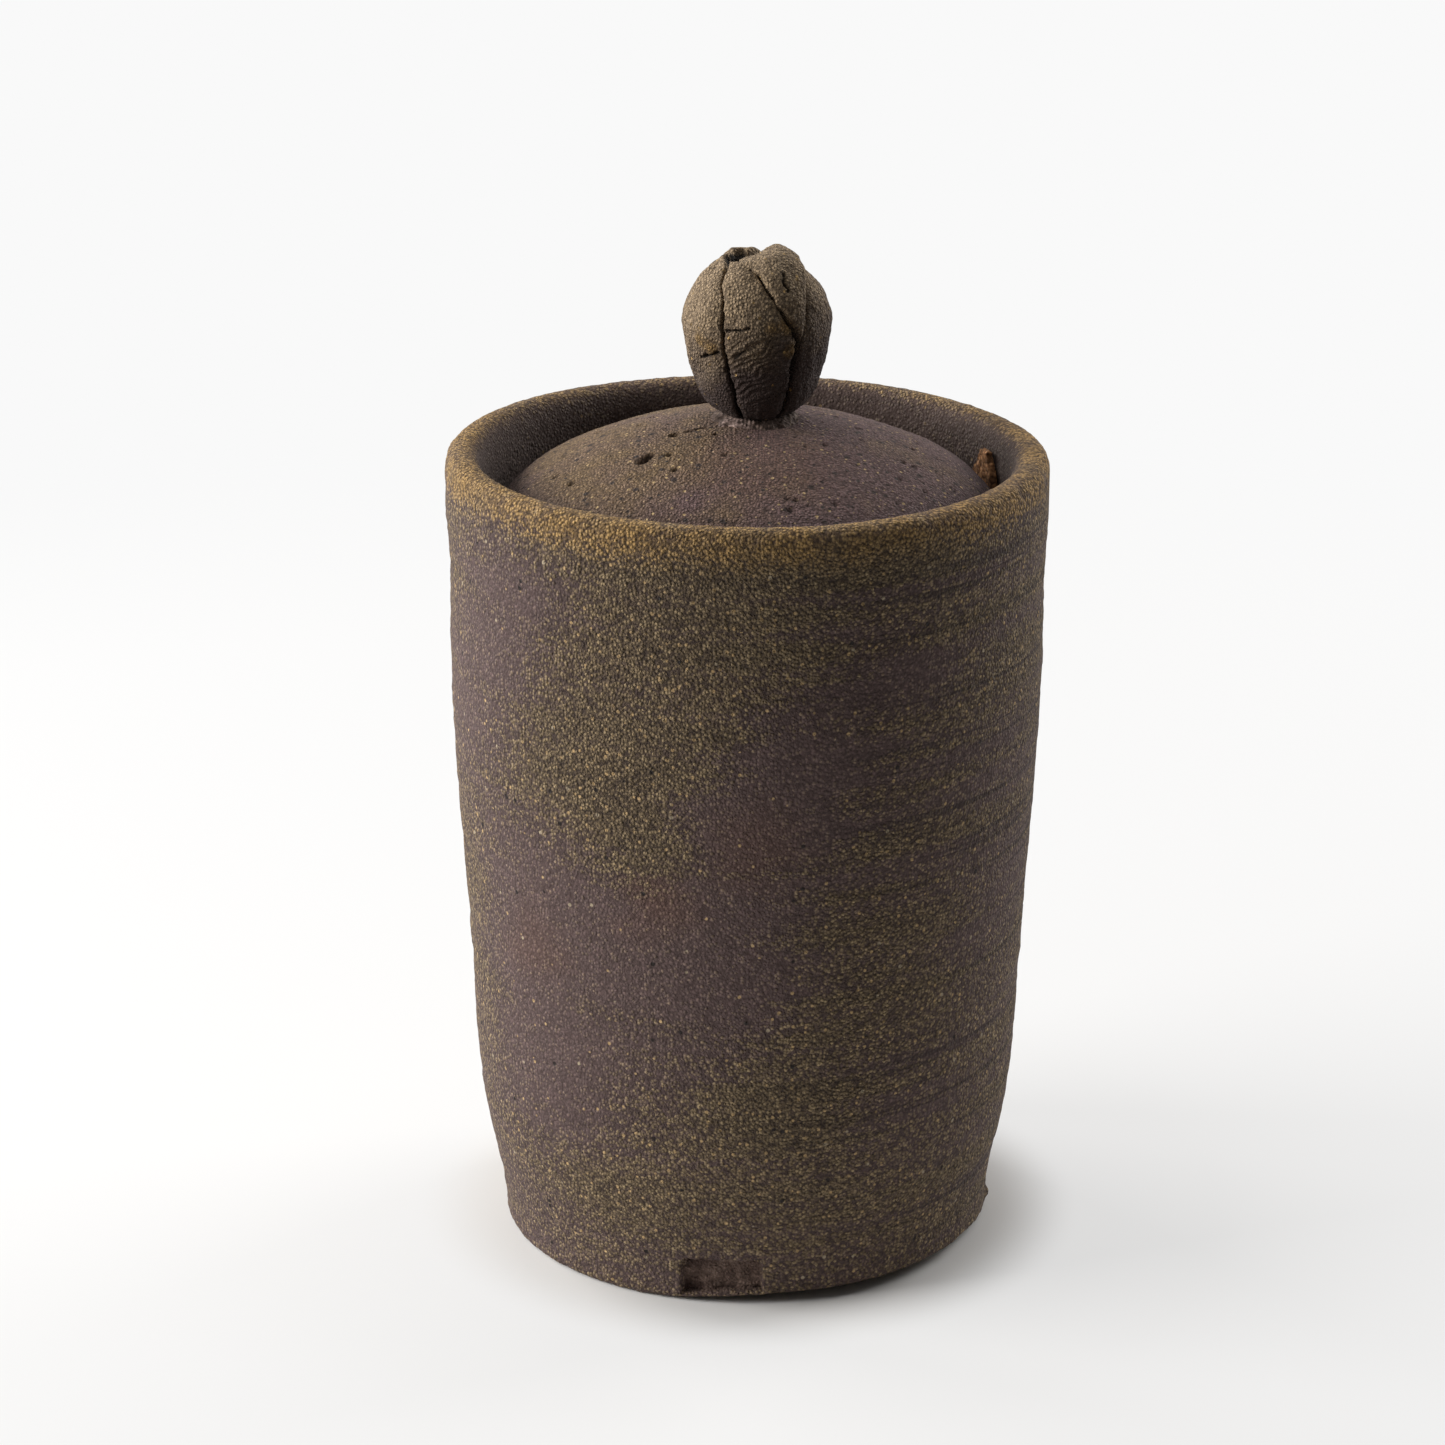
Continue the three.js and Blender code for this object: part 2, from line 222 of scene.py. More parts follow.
# A pair here gives where an effect starts and where it is full
FOOT_WALL = (RIM - 8.5, RIM - 7)
RINGS_ABOVE = (1.5, 8)
RING_RISE = 5.5
RING_LENGTH = 60
RINGS_IN_RISE = 1.7
RING_DEPTH = 0.12
WOBBLE_SIZE = 26
WOBBLE_DEPTH = 0.2
PANEL_AZIMUTH = math.radians(-5.5)
PANEL_HALF_WIDTH = 5.6
PANEL_LOW = 0.5
PANEL_HIGH = 6.7
PANEL_CORNER = 1.4
PANEL_EDGE = 0.4
PANEL_DEPTH = 1.4
PANEL_TILT = 0.15
PANEL_LUMPS = [(2.8, 0.6), (1.2, 0.45)]
PANEL_CUTS = 2
FINE_BESIDE = 3
FINE_ABOVE = 1
FOOT_LIFT = 1.3
LIFT_BEGINS = (-0.5, 0.2)
LIFT_ENDS = (1.1, 1.6)
LIFT_OUTWARD = (27, 32.5)
LIFT_FADES = (0.2, 4)
BURR_AZIMUTH = math.radians(86)
BURR_HEIGHT = 2
BURR_REACH = 0.6
BURR_FADES = (0.3, 1.4)


def pressed_in(place):
    """How far a point lies in the pressed panel: 0 past its round-cornered edge, 1 on its floor."""
    radius = math.hypot(place.x, place.y)
    across = abs(math.atan2(place.x, -place.y) - PANEL_AZIMUTH) * radius
    corner_across = max(across - PANEL_HALF_WIDTH + PANEL_CORNER, 0)
    corner_up = max(place.z - PANEL_HIGH + PANEL_CORNER, 0)
    beyond = math.hypot(corner_across, corner_up) - PANEL_CORNER
    above_foot = ease(place.z, PANEL_LOW, PANEL_LOW + PANEL_EDGE)
    return ease(radius, *FOOT_WALL) * above_foot * (1 - ease(beyond, -PANEL_EDGE, 0))


def thrown_surface(place, normal):
    """Finger rings, the hand's wobble, the pressed panel at the foot, the lifted edge and the burr."""
    azimuth = math.atan2(place.x, -place.y)
    radius = math.hypot(place.x, place.y)
    climb = (place.z + RING_RISE * azimuth / math.tau) / RING_RISE
    ring_place = Vector((place.x / RING_LENGTH, place.y / RING_LENGTH, climb * RINGS_IN_RISE))
    thrown = RING_DEPTH * noise.noise(ring_place) + WOBBLE_DEPTH * noise.noise(place / WOBBLE_SIZE)
    floor_tilt = PANEL_TILT * (azimuth - PANEL_AZIMUTH) * radius / PANEL_HALF_WIDTH
    floor_depth = PANEL_DEPTH - floor_tilt + lumps(place, PANEL_LUMPS)
    from_burr = math.hypot((azimuth - BURR_AZIMUTH) * radius, place.z - BURR_HEIGHT)
    burr = BURR_REACH * (1 - ease(from_burr, *BURR_FADES)) * ease(radius, *FOOT_WALL)
    depth = thrown * ease(place.z, *RINGS_ABOVE) - pressed_in(place) * floor_depth + burr
    lifted = ease(azimuth, *LIFT_BEGINS) * (1 - ease(azimuth, *LIFT_ENDS))
    lift = FOOT_LIFT * lifted * ease(radius, *LIFT_OUTWARD) * (1 - ease(place.z, *LIFT_FADES))
    return normal * depth + Vector((0, 0, lift))


RIM_FALL = Vector((-0.009, 0.004))
TILT_FROM = 60
TILT_FULL = LEDGE + 8
GALLERY_WALL = (RIM - 5.4, RIM - 4)


def tilted_rim(place, normal):
    """Lets the rim hang a little lower at the right and the front, and keeps the jar to its width."""
    radius = math.hypot(place.x, place.y)
    beyond = max(0, radius - RIM) / RIM
    start = TILT_FROM + (LEDGE - TILT_FROM) * (1 - ease(radius, *GALLERY_WALL))
    rise = RIM_FALL.dot(place.xy) * ease(place.z, start, TILT_FULL)
    return Vector((-beyond * place.x, -beyond * place.y, max(0, -place.z) + rise))


jar_strokes = [
    (JAR_UNDERSIDE, HIDDEN_SPACING),
    (JAR_OUTSIDE, SEEN_SPACING),
    (JAR_INSIDE, HIDDEN_SPACING),
]
jar = turned("stoneware_jar", jar_strokes, JAR_STEPS)
bpy.ops.object.mode_set(mode="EDIT")
bpy.ops.mesh.select_all(action="DESELECT")
for face in bmesh.from_edit_mesh(jar.data).faces:
    middle = face.calc_center_median() / MM
    off_panel = abs(math.atan2(middle.x, -middle.y) - PANEL_AZIMUTH) * RIM
    on_outside = math.hypot(middle.x, middle.y) > RIM - 8
    beside_panel = off_panel < PANEL_HALF_WIDTH + FINE_BESIDE
    face.select_set(on_outside and beside_panel and middle.z < PANEL_HIGH + FINE_ABOVE)
bpy.ops.mesh.subdivide(number_cuts=PANEL_CUTS)
bpy.ops.object.mode_set(mode="OBJECT")
pressed = jar.data.attributes.new("pressed", "FLOAT", "POINT")
for vertex in jar.data.vertices:
    pressed.data[vertex.index].value = pressed_in(vertex.co / MM)
sculpt(jar, thrown_surface)
roughen(jar, "VORONOI", size=1.5, depth=-0.12)
roughen(jar, "CLOUDS", size=1.3, depth=0.2, noise_depth=1)
sculpt(jar, tilted_rim)
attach(jar, "jar")
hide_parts("jar_body")


def linear(hex_colour):
    """An sRGB hex colour as the linear colour that shaders use."""
    channels = [int(hex_colour[index : index + 2], 16) / 255 for index in (1, 3, 5)]
    return [c / 12.92 if c <= 0.04045 else ((c + 0.055) / 1.055) ** 2.4 for c in channels] + [1]


def add_node(material, kind, sockets=None, **settings):
    """Adds a shader node with its settings, and sets or links its sockets.

    A colour is given in hex. What comes back is the first output of the node.
    """
    made = material.node_tree.nodes.new("ShaderNode" + kind)
    for key, value in settings.items():
        setattr(made, key, value)
    for key, value in (sockets or {}).items():
        if isinstance(value, bpy.types.NodeSocket):
            material.node_tree.links.new(value, made.inputs[key])
        else:
            made.inputs[key].default_value = linear(value) if isinstance(value, str) else value
    return made.outputs[0]


def per_metre(size):
    """How many times a pattern of that many millimetres fits in a metre."""
    return 1 / (size * MM)


def grainy_clay(name, grit):
    """Starts a bare stoneware: where a point is, each grain's own chances, and how high the grit stands."""
    material = bpy.data.materials.new(name)
    material.use_nodes = True
    place = add_node(material, "TexCoord").node.outputs["Object"]
    grains = add_node(material, "TexVoronoi", {"Vector": place, "Scale": per_metre(grit)}).node
    chances = add_node(material, "SeparateColor", {"Color": grains.outputs["Color"]}).node
    dome = add_node(
        material, "MapRange", {"Value": grains.outputs["Distance"], "From Min": 0.85, "From Max": 0.1}
    )
    lift = add_node(material, "MapRange", {"Value": chances.outputs["Red"], "To Min": 0.1, "To Max": 1.2})
    standing = add_node(material, "Math", {0: dome, 1: lift}, operation="MULTIPLY")
    sand = add_node(material, "TexNoise", {"Vector": place, "Scale": per_metre(grit * 0.75), "Detail": 2})
    height = add_node(material, "Math", {0: sand, 1: 0.8, 2: standing}, operation="MULTIPLY_ADD")
    return SimpleNamespace(
        material=material,
        place=place,
        chance=chances.outputs["Red"],
        fleck_chance=chances.outputs["Green"],
        height=height,
        tops=add_node(material, "MapRange", {"Value": height, "From Min": 0.35, "From Max": 1.05}),
    )


SMOOTH = {"interpolation_type": "SMOOTHSTEP"}


def flecks(clay, colour, kinds):
    """Scatters spots over a colour: a kind is their spacing, their share of the places and their colour."""
    for spacing, share, fleck_colour in kinds:
        grid = {"Vector": clay.place, "Scale": per_metre(spacing)}
        spots = add_node(clay.material, "TexVoronoi", grid).node.outputs
        lot = add_node(clay.material, "SeparateColor", {"Color": spots["Color"]})
        chosen = add_node(clay.material, "Math", {0: lot, 1: share}, operation="LESS_THAN")
        edge = {"Value": spots["Distance"], "From Min": 0.36, "From Max": 0.18}
        spot = add_node(clay.material, "MapRange", edge, **SMOOTH)
        seen = add_node(clay.material, "Math", {0: chosen, 1: spot}, operation="MULTIPLY")
        colour = add_node(clay.material, "MixRGB", {"Fac": seen, "Color1": colour, "Color2": fleck_colour})
    return colour


def shade_between_grains(clay, colour, depth=0.8):
    """Paints shade into the hollows between the grains: lets a colour fall darker there by that share."""
    hollow = add_node(clay.material, "MixRGB", {"Fac": depth, "Color1": colour, "Color2": "#2a201c"})
    return add_node(clay.material, "MixRGB", {"Fac": clay.tops, "Color1": hollow, "Color2": colour})


def finish_clay(clay, colour, relief):
    """Dull fired clay: rough all over, a little less on the grains' tops, with the grit as its relief."""
    shader = clay.material.node_tree.nodes["Principled BSDF"]
    shader.inputs["IOR"].default_value = 1.5
    shader.inputs["Specular IOR Level"].default_value = 0.3
    dull = add_node(clay.material, "MapRange", {"Value": clay.tops, "To Min": 0.95, "To Max": 0.74})
    bump = add_node(clay.material, "Bump", {"Height": clay.height, "Distance": relief})
    for socket, look in {"Base Color": colour, "Roughness": dull, "Normal": bump}.items():
        clay.material.node_tree.links.new(look, shader.inputs[socket])


def streaks(clay, length, rise, detail):
    """A noise drawn out round the wall, that many millimetres long and that many tall."""
    squeeze = (per_metre(length), per_metre(length), per_metre(rise))
    drawn_out = add_node(clay.material, "VectorMath", {0: clay.place, 1: squeeze}, operation="MULTIPLY")
    return add_node(clay.material, "TexNoise", {"Vector": drawn_out, "Scale": 1, "Detail": detail})


def from_axis(clay):
    """How far a point of the clay lies from the jar's axis."""
    level = add_node(clay.material, "VectorMath", {0: clay.place, 1: (1, 1, 0)}, operation="MULTIPLY")
    return add_node(clay.material, "VectorMath", {0: level}, operation="LENGTH").node.outputs["Value"]


def soft_spot(material, place, centre, reach, core, strength, fade="SMOOTHSTEP"):
    """A round spot about a centre in millimetres: full strength in its core, nothing past its reach."""
    between = {0: place, 1: Vector(centre) * MM}
    away = add_node(material, "VectorMath", between, operation="DISTANCE").node.outputs["Value"]
    fall = {"Value": away, "From Min": reach * MM, "From Max": core * MM, "To Max": strength}
    return add_node(material, "MapRange", fall, interpolation_type=fade)


def around(angle, radius, height, axis_x=0):
    """The point that many degrees from the front, that far from an upright axis and that high."""
    turn = math.radians(angle)
    return Vector((axis_x + radius * math.sin(turn), -radius * math.cos(turn), height))


def patches(material, place, amount, marks):
    """Adds soft patches on the wall to an amount: a mark is its angle, height, reach and strength."""
    for azimuth, height, reach, strength in marks:
        centre = around(azimuth, RIM - 1, height)
        patch = soft_spot(material, place, centre, reach, PATCH_CORE * reach, strength)
        amount = add_node(material, "Math", {0: amount, 1: patch}, operation="ADD")
    return amount


# Wood-fired stoneware, bare. The eye sees purple-brown clay, dark between the grains, where the darkness is
# painted shade, with olive and gold ash on the grains' tops where the flame carried it, and fine lines that
# the wheel dragged.
ASH_MARKS = [
    (-20, 99, 19, 0.45),
    (8, 101, 19, 0.5),
    (30, 103, 13, 0.4),
    (-28, 76, 19, 0.5),
    (-22, 66, 13, 0.3),
    (-3, 85, 14, 0.25),
    (25, 52, 16, 0.3),
    (9, 27, 17, 0.45),
    (-18, 15, 17, 0.4),
    (-53, 96, 16, -0.5),
    (-66, 78, 17, -0.35),
    (4, 70, 16, -0.55),
    (13, 80, 12, -0.4),
    (-8, 51, 19, -0.55),
    (-44, 52, 23, -0.55),
    (-44, 31, 18, -0.45),
    (-5.5, 3.5, 7, -0.5),
    (61, 52, 16, -0.3),
    (28, 93, 14, -0.4),
]
RUST_MARKS = [(-17, 59, 8, 0.5), (-45, 49, 9, 0.3), (2, 66, 10, 0.3)]
PATCH_CORE = 0.15
PATCH_DRIFT = Vector((20, 20, 9)) * MM
WALL_GRIT = 0.43
wall = grainy_clay("wood_fired_stoneware_wall", WALL_GRIT)
clay = wall.material
wall_x, wall_y, wall_z = add_node(clay, "SeparateXYZ", {"Vector": wall.place}).node.outputs
wander = streaks(wall, length=34, rise=8, detail=2).node.outputs["Color"]
drift = add_node(
    clay, "VectorMath", {0: wander, 1: PATCH_DRIFT, 2: -PATCH_DRIFT / 2}, operation="MULTIPLY_ADD"
)
drifted = add_node(clay, "VectorMath", {0: wall.place, 1: drift}, operation="ADD")
flame = add_node(clay, "TexNoise", {"Vector": wall.place, "Scale": per_metre(38), "Detail": 2})
flown = add_node(
    clay, "MapRange", {"Value": flame, "From Min": 0.3, "From Max": 0.7, "To Min": 0.25, "To Max": 0.65}
)
settled = patches(clay, drifted, flown, ASH_MARKS)
band = streaks(wall, length=45, rise=2.6, detail=3)
banded = add_node(
    clay, "MapRange", {"Value": band, "From Min": 0.3, "From Max": 0.7, "To Min": -0.42, "To Max": 0.42}
)
band_side = add_node(
    clay, "MapRange", {"Value": wall_x, "From Min": -22 * MM, "From Max": 14 * MM, "To Min": 0.4}
)
outside_ash = add_node(
    clay, "Math", {0: banded, 1: band_side, 2: settled}, operation="MULTIPLY_ADD", use_clamp=True
)

# The ash never reached far inside, where the clay is plain; it is also darkened there, which is painted
# shade inside the rim
radius = from_axis(wall)
low_middle = add_node(
    clay,
    "MapRange",
    {"Value": wall_z, "From Max": 26 * MM, "To Min": (RIM - 11.5) * MM, "To Max": (RIM - 5.4) * MM},
)
high_middle = add_node(
    clay, "MapRange", {"Value": wall_z, "From Min": 26 * MM, "From Max": 62 * MM, "To Max": 1.8 * MM}
)
wall_middle = add_node(clay, "Math", {0: low_middle, 1: high_middle}, operation="ADD")
from_middle = add_node(clay, "Math", {0: wall_middle, 1: radius}, operation="SUBTRACT")
inside = add_node(
    clay, "MapRange", {"Value": from_middle, "From Min": -0.2 * MM, "From Max": 1.2 * MM}, **SMOOTH
)
no_ash = add_node(clay, "MapRange", {"Value": inside, "To Min": 1, "To Max": 0.2})
ash = add_node(clay, "Math", {0: outside_ash, 1: no_ash}, operation="MULTIPLY")

# At the edge of an ash patch some grains have caught it and others haven't
by_grain = add_node(clay, "MapRange", {"Value": wall.chance, "To Min": -0.26, "To Max": 0.26})
by_top = add_node(clay, "MapRange", {"Value": wall.tops, "To Min": -0.2, "To Max": 0.2})
by_height = add_node(clay, "Math", {0: by_grain, 1: by_top}, operation="ADD")
grain_ash = add_node(clay, "Math", {0: ash, 1: by_height}, operation="ADD")
caught = add_node(clay, "MapRange", {"Value": grain_ash, "From Min": 0.1, "From Max": 0.95}, **SMOOTH)
bright_grain = add_node(clay, "Math", {0: wall.fleck_chance, 1: 2}, operation="POWER")
golden = add_node(clay, "MixRGB", {"Fac": bright_grain, "Color1": "#705e46", "Color2": "#a68f6c"})
mauve = add_node(clay, "MixRGB", {"Fac": bright_grain, "Color1": "#5a4946", "Color2": "#705b58"})
rust = patches(clay, drifted, 0, RUST_MARKS)
rusty = add_node(clay, "MixRGB", {"Fac": rust, "Color1": mauve, "Color2": "#6c4d3f"})
top_colour = add_node(clay, "MixRGB", {"Fac": caught, "Color1": rusty, "Color2": golden})
# Painted shade between the grains, deeper where the ash lies
hollow_shade_depth = add_node(clay, "MapRange", {"Value": ash, "To Min": 0.5, "To Max": 0.92})
wall_colour = shade_between_grains(wall, top_colour, depth=hollow_shade_depth)

# Gold specks lie thickest in the ash and thin out towards the foot
ash_specks = add_node(
    clay, "MapRange", {"Value": ash, "From Min": 0.2, "From Max": 0.9, "To Min": 0.04, "To Max": 0.26}
)
calm_foot = add_node(
    clay, "MapRange", {"Value": wall_z, "From Min": 3 * MM, "From Max": 18 * MM, "To Min": 0.35}
)
speck_share = add_node(clay, "Math", {0: ash_specks, 1: calm_foot}, operation="MULTIPLY")
# Gold and pale specks, and a few dark spots of painted shade that stand for small pits
wall_specks_and_pit_shade = [(0.85, speck_share, "#b3956a"), (0.95, 0.015, "#a4947c"), (1.2, 0.02, "#1d1512")]
wall_colour = flecks(wall, wall_colour, wall_specks_and_pit_shade)

# Thin dark lines that grit dragged round the wall, strongest on the right
drag = streaks(wall, length=55, rise=0.8, detail=1)
drag_line = add_node(
    clay, "MapRange", {"Value": drag, "From Min": 0.39, "From Max": 0.32, "To Max": 0.6}, **SMOOTH
)
rightwards = add_node(
    clay, "MapRange", {"Value": wall_x, "From Min": 0, "From Max": 26 * MM, "To Min": 0.05}
)
dragged = add_node(clay, "Math", {0: drag_line, 1: rightwards}, operation="MULTIPLY")

# The rim's crest is golden brown where hands and flame wore it, least at the back
crest_run = add_node(clay, "MapRange", {"Value": grain_ash, "To Min": -1.6 * MM, "To Max": 1.6 * MM})
crest_level = add_node(clay, "Math", {0: wall_z, 1: crest_run}, operation="ADD")
high = add_node(
    clay, "MapRange", {"Value": crest_level, "From Min": 103.8 * MM, "From Max": 108.2 * MM}, **SMOOTH
)
outer = add_node(
    clay, "MapRange", {"Value": radius, "From Min": (RIM - 5) * MM, "From Max": (RIM - 2.6) * MM}, **SMOOTH
)
crest = add_node(clay, "Math", {0: high, 1: outer}, operation="MULTIPLY")
wear = add_node(clay, "TexNoise", {"Vector": wall.place, "Scale": per_metre(6), "Detail": 2})
uneven_wear = add_node(
    clay, "MapRange", {"Value": wear, "From Min": 0.35, "From Max": 0.6, "To Min": 0.4, "To Max": 0.95}
)
frontwards = add_node(
    clay, "MapRange", {"Value": wall_y, "From Min": 34 * MM, "From Max": 8 * MM, "To Min": 0.4}
)
front_wear = add_node(clay, "Math", {0: uneven_wear, 1: frontwards}, operation="MULTIPLY")
crest_worn = add_node(clay, "Math", {0: crest, 1: front_wear}, operation="MULTIPLY")
crest_gold = flecks(wall, "#ba945b", [(0.8, 0.12, "#c9a066")])
# Painted shade: the inside of the rim is darkened towards #33271f
painted_shade_inside = add_node(clay, "Math", {0: inside, 1: 0.7}, operation="MULTIPLY")

# The pressed panel's floor is a redder brown
panel = add_node(clay, "Attribute", attribute_name="pressed").node.outputs["Fac"]
blotch = add_node(clay, "TexNoise", {"Vector": wall.place, "Scale": per_metre(2.4), "Detail": 1})
blotched = add_node(clay, "MapRange", {"Value": blotch, "From Min": 0.35, "From Max": 0.65})
panel_clay = add_node(clay, "MixRGB", {"Fac": blotched, "Color1": "#56423a", "Color2": "#7c665a"})
panel_clay = flecks(wall, panel_clay, [(0.8, 0.1, "#9c8676")])

# The drag lines, the crest, the painted shade inside and the panel lie over the ash in that order
for amount, over in [
    (dragged, "#261c18"),
    (crest_worn, shade_between_grains(wall, crest_gold, depth=0.9)),
    (painted_shade_inside, "#33271f"),
    (panel, shade_between_grains(wall, panel_clay, depth=0.5)),
]:
    wall_colour = add_node(clay, "MixRGB", {"Fac": amount, "Color1": wall_colour, "Color2": over})
wall_relief = add_node(clay, "MapRange", {"Value": ash, "To Min": 0.2 * MM, "To Max": 0.55 * MM})
finish_clay(wall, wall_colour, relief=wall_relief)
jar.data.materials.append(clay)

# Kiln wad. A chip of the coarse orange clay that kept the lid from sticking in the kiln, left fused
# to the gallery's wall on the right. It was pinched off by hand, so it is thin and crumbly.
wad_low, wad_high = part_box("kiln_wad")
WAD_CENTRE = (wad_low + wad_high) / 2 / MM + Vector((0.35, -1, 0))
WAD_TURN = math.atan2(WAD_CENTRE.y, WAD_CENTRE.x)
WAD_SIZE = Vector((1, 7.6, 5.4))
WAD_BEVEL = 0.3
WAD_CUTS = 24
WAD_TAPER = 0.7
WAD_TAPERS = (0.2, 1)
WAD_TIP = -0.5
WAD_CRUMBS = [(1.3, 0.18), (0.45, 0.1)]
WAD_GRIT = 0.6


def chipped(place, normal):
    """Turns the block into a chip: pointed at the top, thin at its edges, rough all over."""
    sideways = Vector((-math.sin(WAD_TURN), math.cos(WAD_TURN), 0))
    local = place - WAD_CENTRE
    rise = local.z / WAD_SIZE.z + 0.5
    slim = WAD_TAPER * ease(rise, *WAD_TAPERS)
    return sideways * (WAD_TIP - local.dot(sideways)) * slim + normal * lumps(place, WAD_CRUMBS)


bpy.ops.object.select_all(action="DESELECT")
bpy.ops.mesh.primitive_cube_add(size=1, location=WAD_CENTRE * MM, rotation=(0, 0, WAD_TURN))
wad = bpy.context.object
wad.name = "fused_wad_chip"
wad.scale = WAD_SIZE * MM
bpy.ops.object.transform_apply(location=True, rotation=True, scale=True)
bpy.ops.object.mode_set(mode="EDIT")
bpy.ops.mesh.bevel(offset=WAD_BEVEL * MM, segments=2)
bpy.ops.mesh.subdivide(number_cuts=WAD_CUTS)
bpy.ops.object.mode_set(mode="OBJECT")
sculpt(wad, chipped)
bpy.ops.object.shade_smooth()
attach(wad, "jar")
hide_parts("kiln_wad")

# Refractory wad clay, fired dry. The eye sees a warm orange-brown crumb with paler sand in it.
crumb = grainy_clay("refractory_wad_clay", WAD_GRIT)
sandy = flecks(crumb, "#bd8758", [(0.7, 0.2, "#d3a880")])
finish_clay(crumb, shade_between_grains(crumb, sandy), relief=0.2 * MM)
wad.data.materials.append(crumb.material)

# Lid. A shallow dome thrown upside down from the same clay, hollow beneath, with an upright edge that
# drops inside the rim and rests on the ledge. Coarse grit tore pits in its top when it was trimmed.
LID = lid_high.x / MM
LID_CROWN = lid_high.z / MM
DOME_RISE = 10.4
DOME_POWER = 2.16


def lid_height(x, y):
    """How high the dome stands at a point of its plan."""
    return LID_CROWN - DOME_RISE * (math.hypot(x, y) / LID) ** DOME_POWER


LID_OUTSIDE = [
    (LID - 1, LEDGE + 0.05, SOFT),
    (LID - 0.5, LEDGE + 0.6, SOFT),
    (LID - 0.45, LEDGE + 1.7, SOFT),
    (LID - 0.8, LEDGE + 2.9, SOFT),
    (LID - 1.9, LEDGE + 4.1, SOFT),
]
LID_OUTSIDE += [(reach, lid_height(reach, 0), SOFT) for reach in (LID - 4.5, 23, 18, 13, 8, 4)]
LID_OUTSIDE.append((0, LID_CROWN, SHARP))
LID_UNDERSIDE = [
    (0, LID_CROWN - 4.5, SHARP),
    (7, LID_CROWN - 5.1, SOFT),
    (14, LID_CROWN - 6.9, SOFT),
    (21, LID_CROWN - 9.9, SOFT),
    (LID - 5, LEDGE + 0.2, SHARP),
    (LID - 1, LEDGE + 0.05, SHARP),
]
LID_STEPS = 520
LID_SPACING = 0.34
LID_RIGHT = 0.3
LID_RING_SPACING = 2.1
LID_RING_LENGTH = 50
LID_RING_DEPTH = 0.07
LID_WOBBLE = [(11, 0.12)]
LID_GRIT = 0.38
MARK_SLACK = 0.4
MARK_CORE = 0.25


def dent(piece, marks):
    """Presses pits into a piece and notes how torn each point is: a mark is its place, radius and depth."""
    tree = KDTree(len(piece.data.vertices))
    for vertex in piece.data.vertices:
        tree.insert(vertex.co / MM, vertex.index)
    tree.balance()
    normals = [vertex.normal.copy() for vertex in piece.data.vertices]
    torn = piece.data.attributes.new("torn", "FLOAT", "POINT")
    for place, reach, depth in marks:
        centre, index, away = tree.find(place)
        if away > reach + MARK_SLACK:
            continue
        for found, index, away in tree.find_range(centre, reach):
            press = 1 - ease(away / reach, MARK_CORE, 1)
            piece.data.vertices[index].co -= normals[index] * press * depth * MM
            torn.data[index].value = max(torn.data[index].value, press)
    piece.data.update()


def lid_mark(x, y, reach, depth):
    """A pit on the dome, above that point of its plan."""
    return Vector((x, y, lid_height(x, y))), reach, depth


# Each large pit is its place in the plan, its radius and its depth
LARGE_PITS = [
    (-13.6, -12, 1, 1),
    (-12.5, -10.9, 0.9, 0.9),
    (-13.1, -11.4, 1, 1),
    (-20, 5.7, 0.7, 0.7),
    (-9.55, -5.7, 0.85, 1),
    (-10.2, -11.8, 0.6, 0.7),
    (-9.4, -15.9, 0.55, 0.6),
    (-23, -11.7, 0.7, 0.6),
    (-25.1, -7.5, 0.6, 0.4),
    (-4, -7, 0.55, 0.4),
    (6.1, -22.8, 0.5, 0.4),
    (11, -22.6, 0.5, 0.35),
]
TEAR_START = Vector((-8, -5.1))
TEAR_END = Vector((-5.2, -4.4))
TEAR_PITS = 9
TEAR_RADIUS = 0.4
TEAR_DEPTH = 0.25
SMALL_PITS = 80
SMALL_RADIUS = (0.26, 0.42)
MIDDLE_PITS = 26
MIDDLE_RADIUS = (0.45, 0.62)
PIT_DEPTH = 0.6
PIT_MARGIN = 3
PIT_SPREAD = (0.06, 1)
pit_draw = random.Random(7)
pits = [lid_mark(*pit) for pit in LARGE_PITS]
for step in range(TEAR_PITS):
    spot = TEAR_START.lerp(TEAR_END, step / (TEAR_PITS - 1))
    pits.append(lid_mark(spot.x, spot.y, TEAR_RADIUS, TEAR_DEPTH))
for step in range(SMALL_PITS + MIDDLE_PITS):
    reach_out = (LID - PIT_MARGIN) * math.sqrt(pit_draw.uniform(*PIT_SPREAD))
    turn = pit_draw.uniform(0, math.tau)
    size = pit_draw.uniform(*(SMALL_RADIUS if step < SMALL_PITS else MIDDLE_RADIUS))
    pits.append(lid_mark(reach_out * math.cos(turn), reach_out * math.sin(turn), size, size * PIT_DEPTH))


def turned_lid(place, normal):
    """Faint rings from the wheel and the hand's wobble, on a lid that lies a little to the right."""
    radius = math.hypot(place.x, place.y)
    ring_place = (radius / LID_RING_SPACING, place.x / LID_RING_LENGTH, place.y / LID_RING_LENGTH)
    ring = noise.noise(Vector(ring_place))
    return normal * (LID_RING_DEPTH * ring + lumps(place, LID_WOBBLE)) + Vector((LID_RIGHT, 0, 0))


lid = turned("stoneware_lid", [(LID_UNDERSIDE, HIDDEN_SPACING), (LID_OUTSIDE, LID_SPACING)], LID_STEPS)
sculpt(lid, turned_lid)
roughen(lid, "VORONOI", size=1.1, depth=-0.06)
roughen(lid, "CLOUDS", size=0.9, depth=0.08, noise_depth=1)
dent(lid, pits)
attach(lid, "lid")
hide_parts("lid_dome")


def shade_painted_in_pits(clay, colour):
    """Paints shade down the pits and cracks that were torn in the piece, darkening its colour there."""
    torn = add_node(clay.material, "Attribute", attribute_name="torn").node.outputs["Fac"]
    shade = add_node(clay.material, "Math", {0: torn, 1: 0.9}, operation="MULTIPLY")
    return add_node(clay.material, "MixRGB", {"Fac": shade, "Color1": colour, "Color2": "#150e0b"})


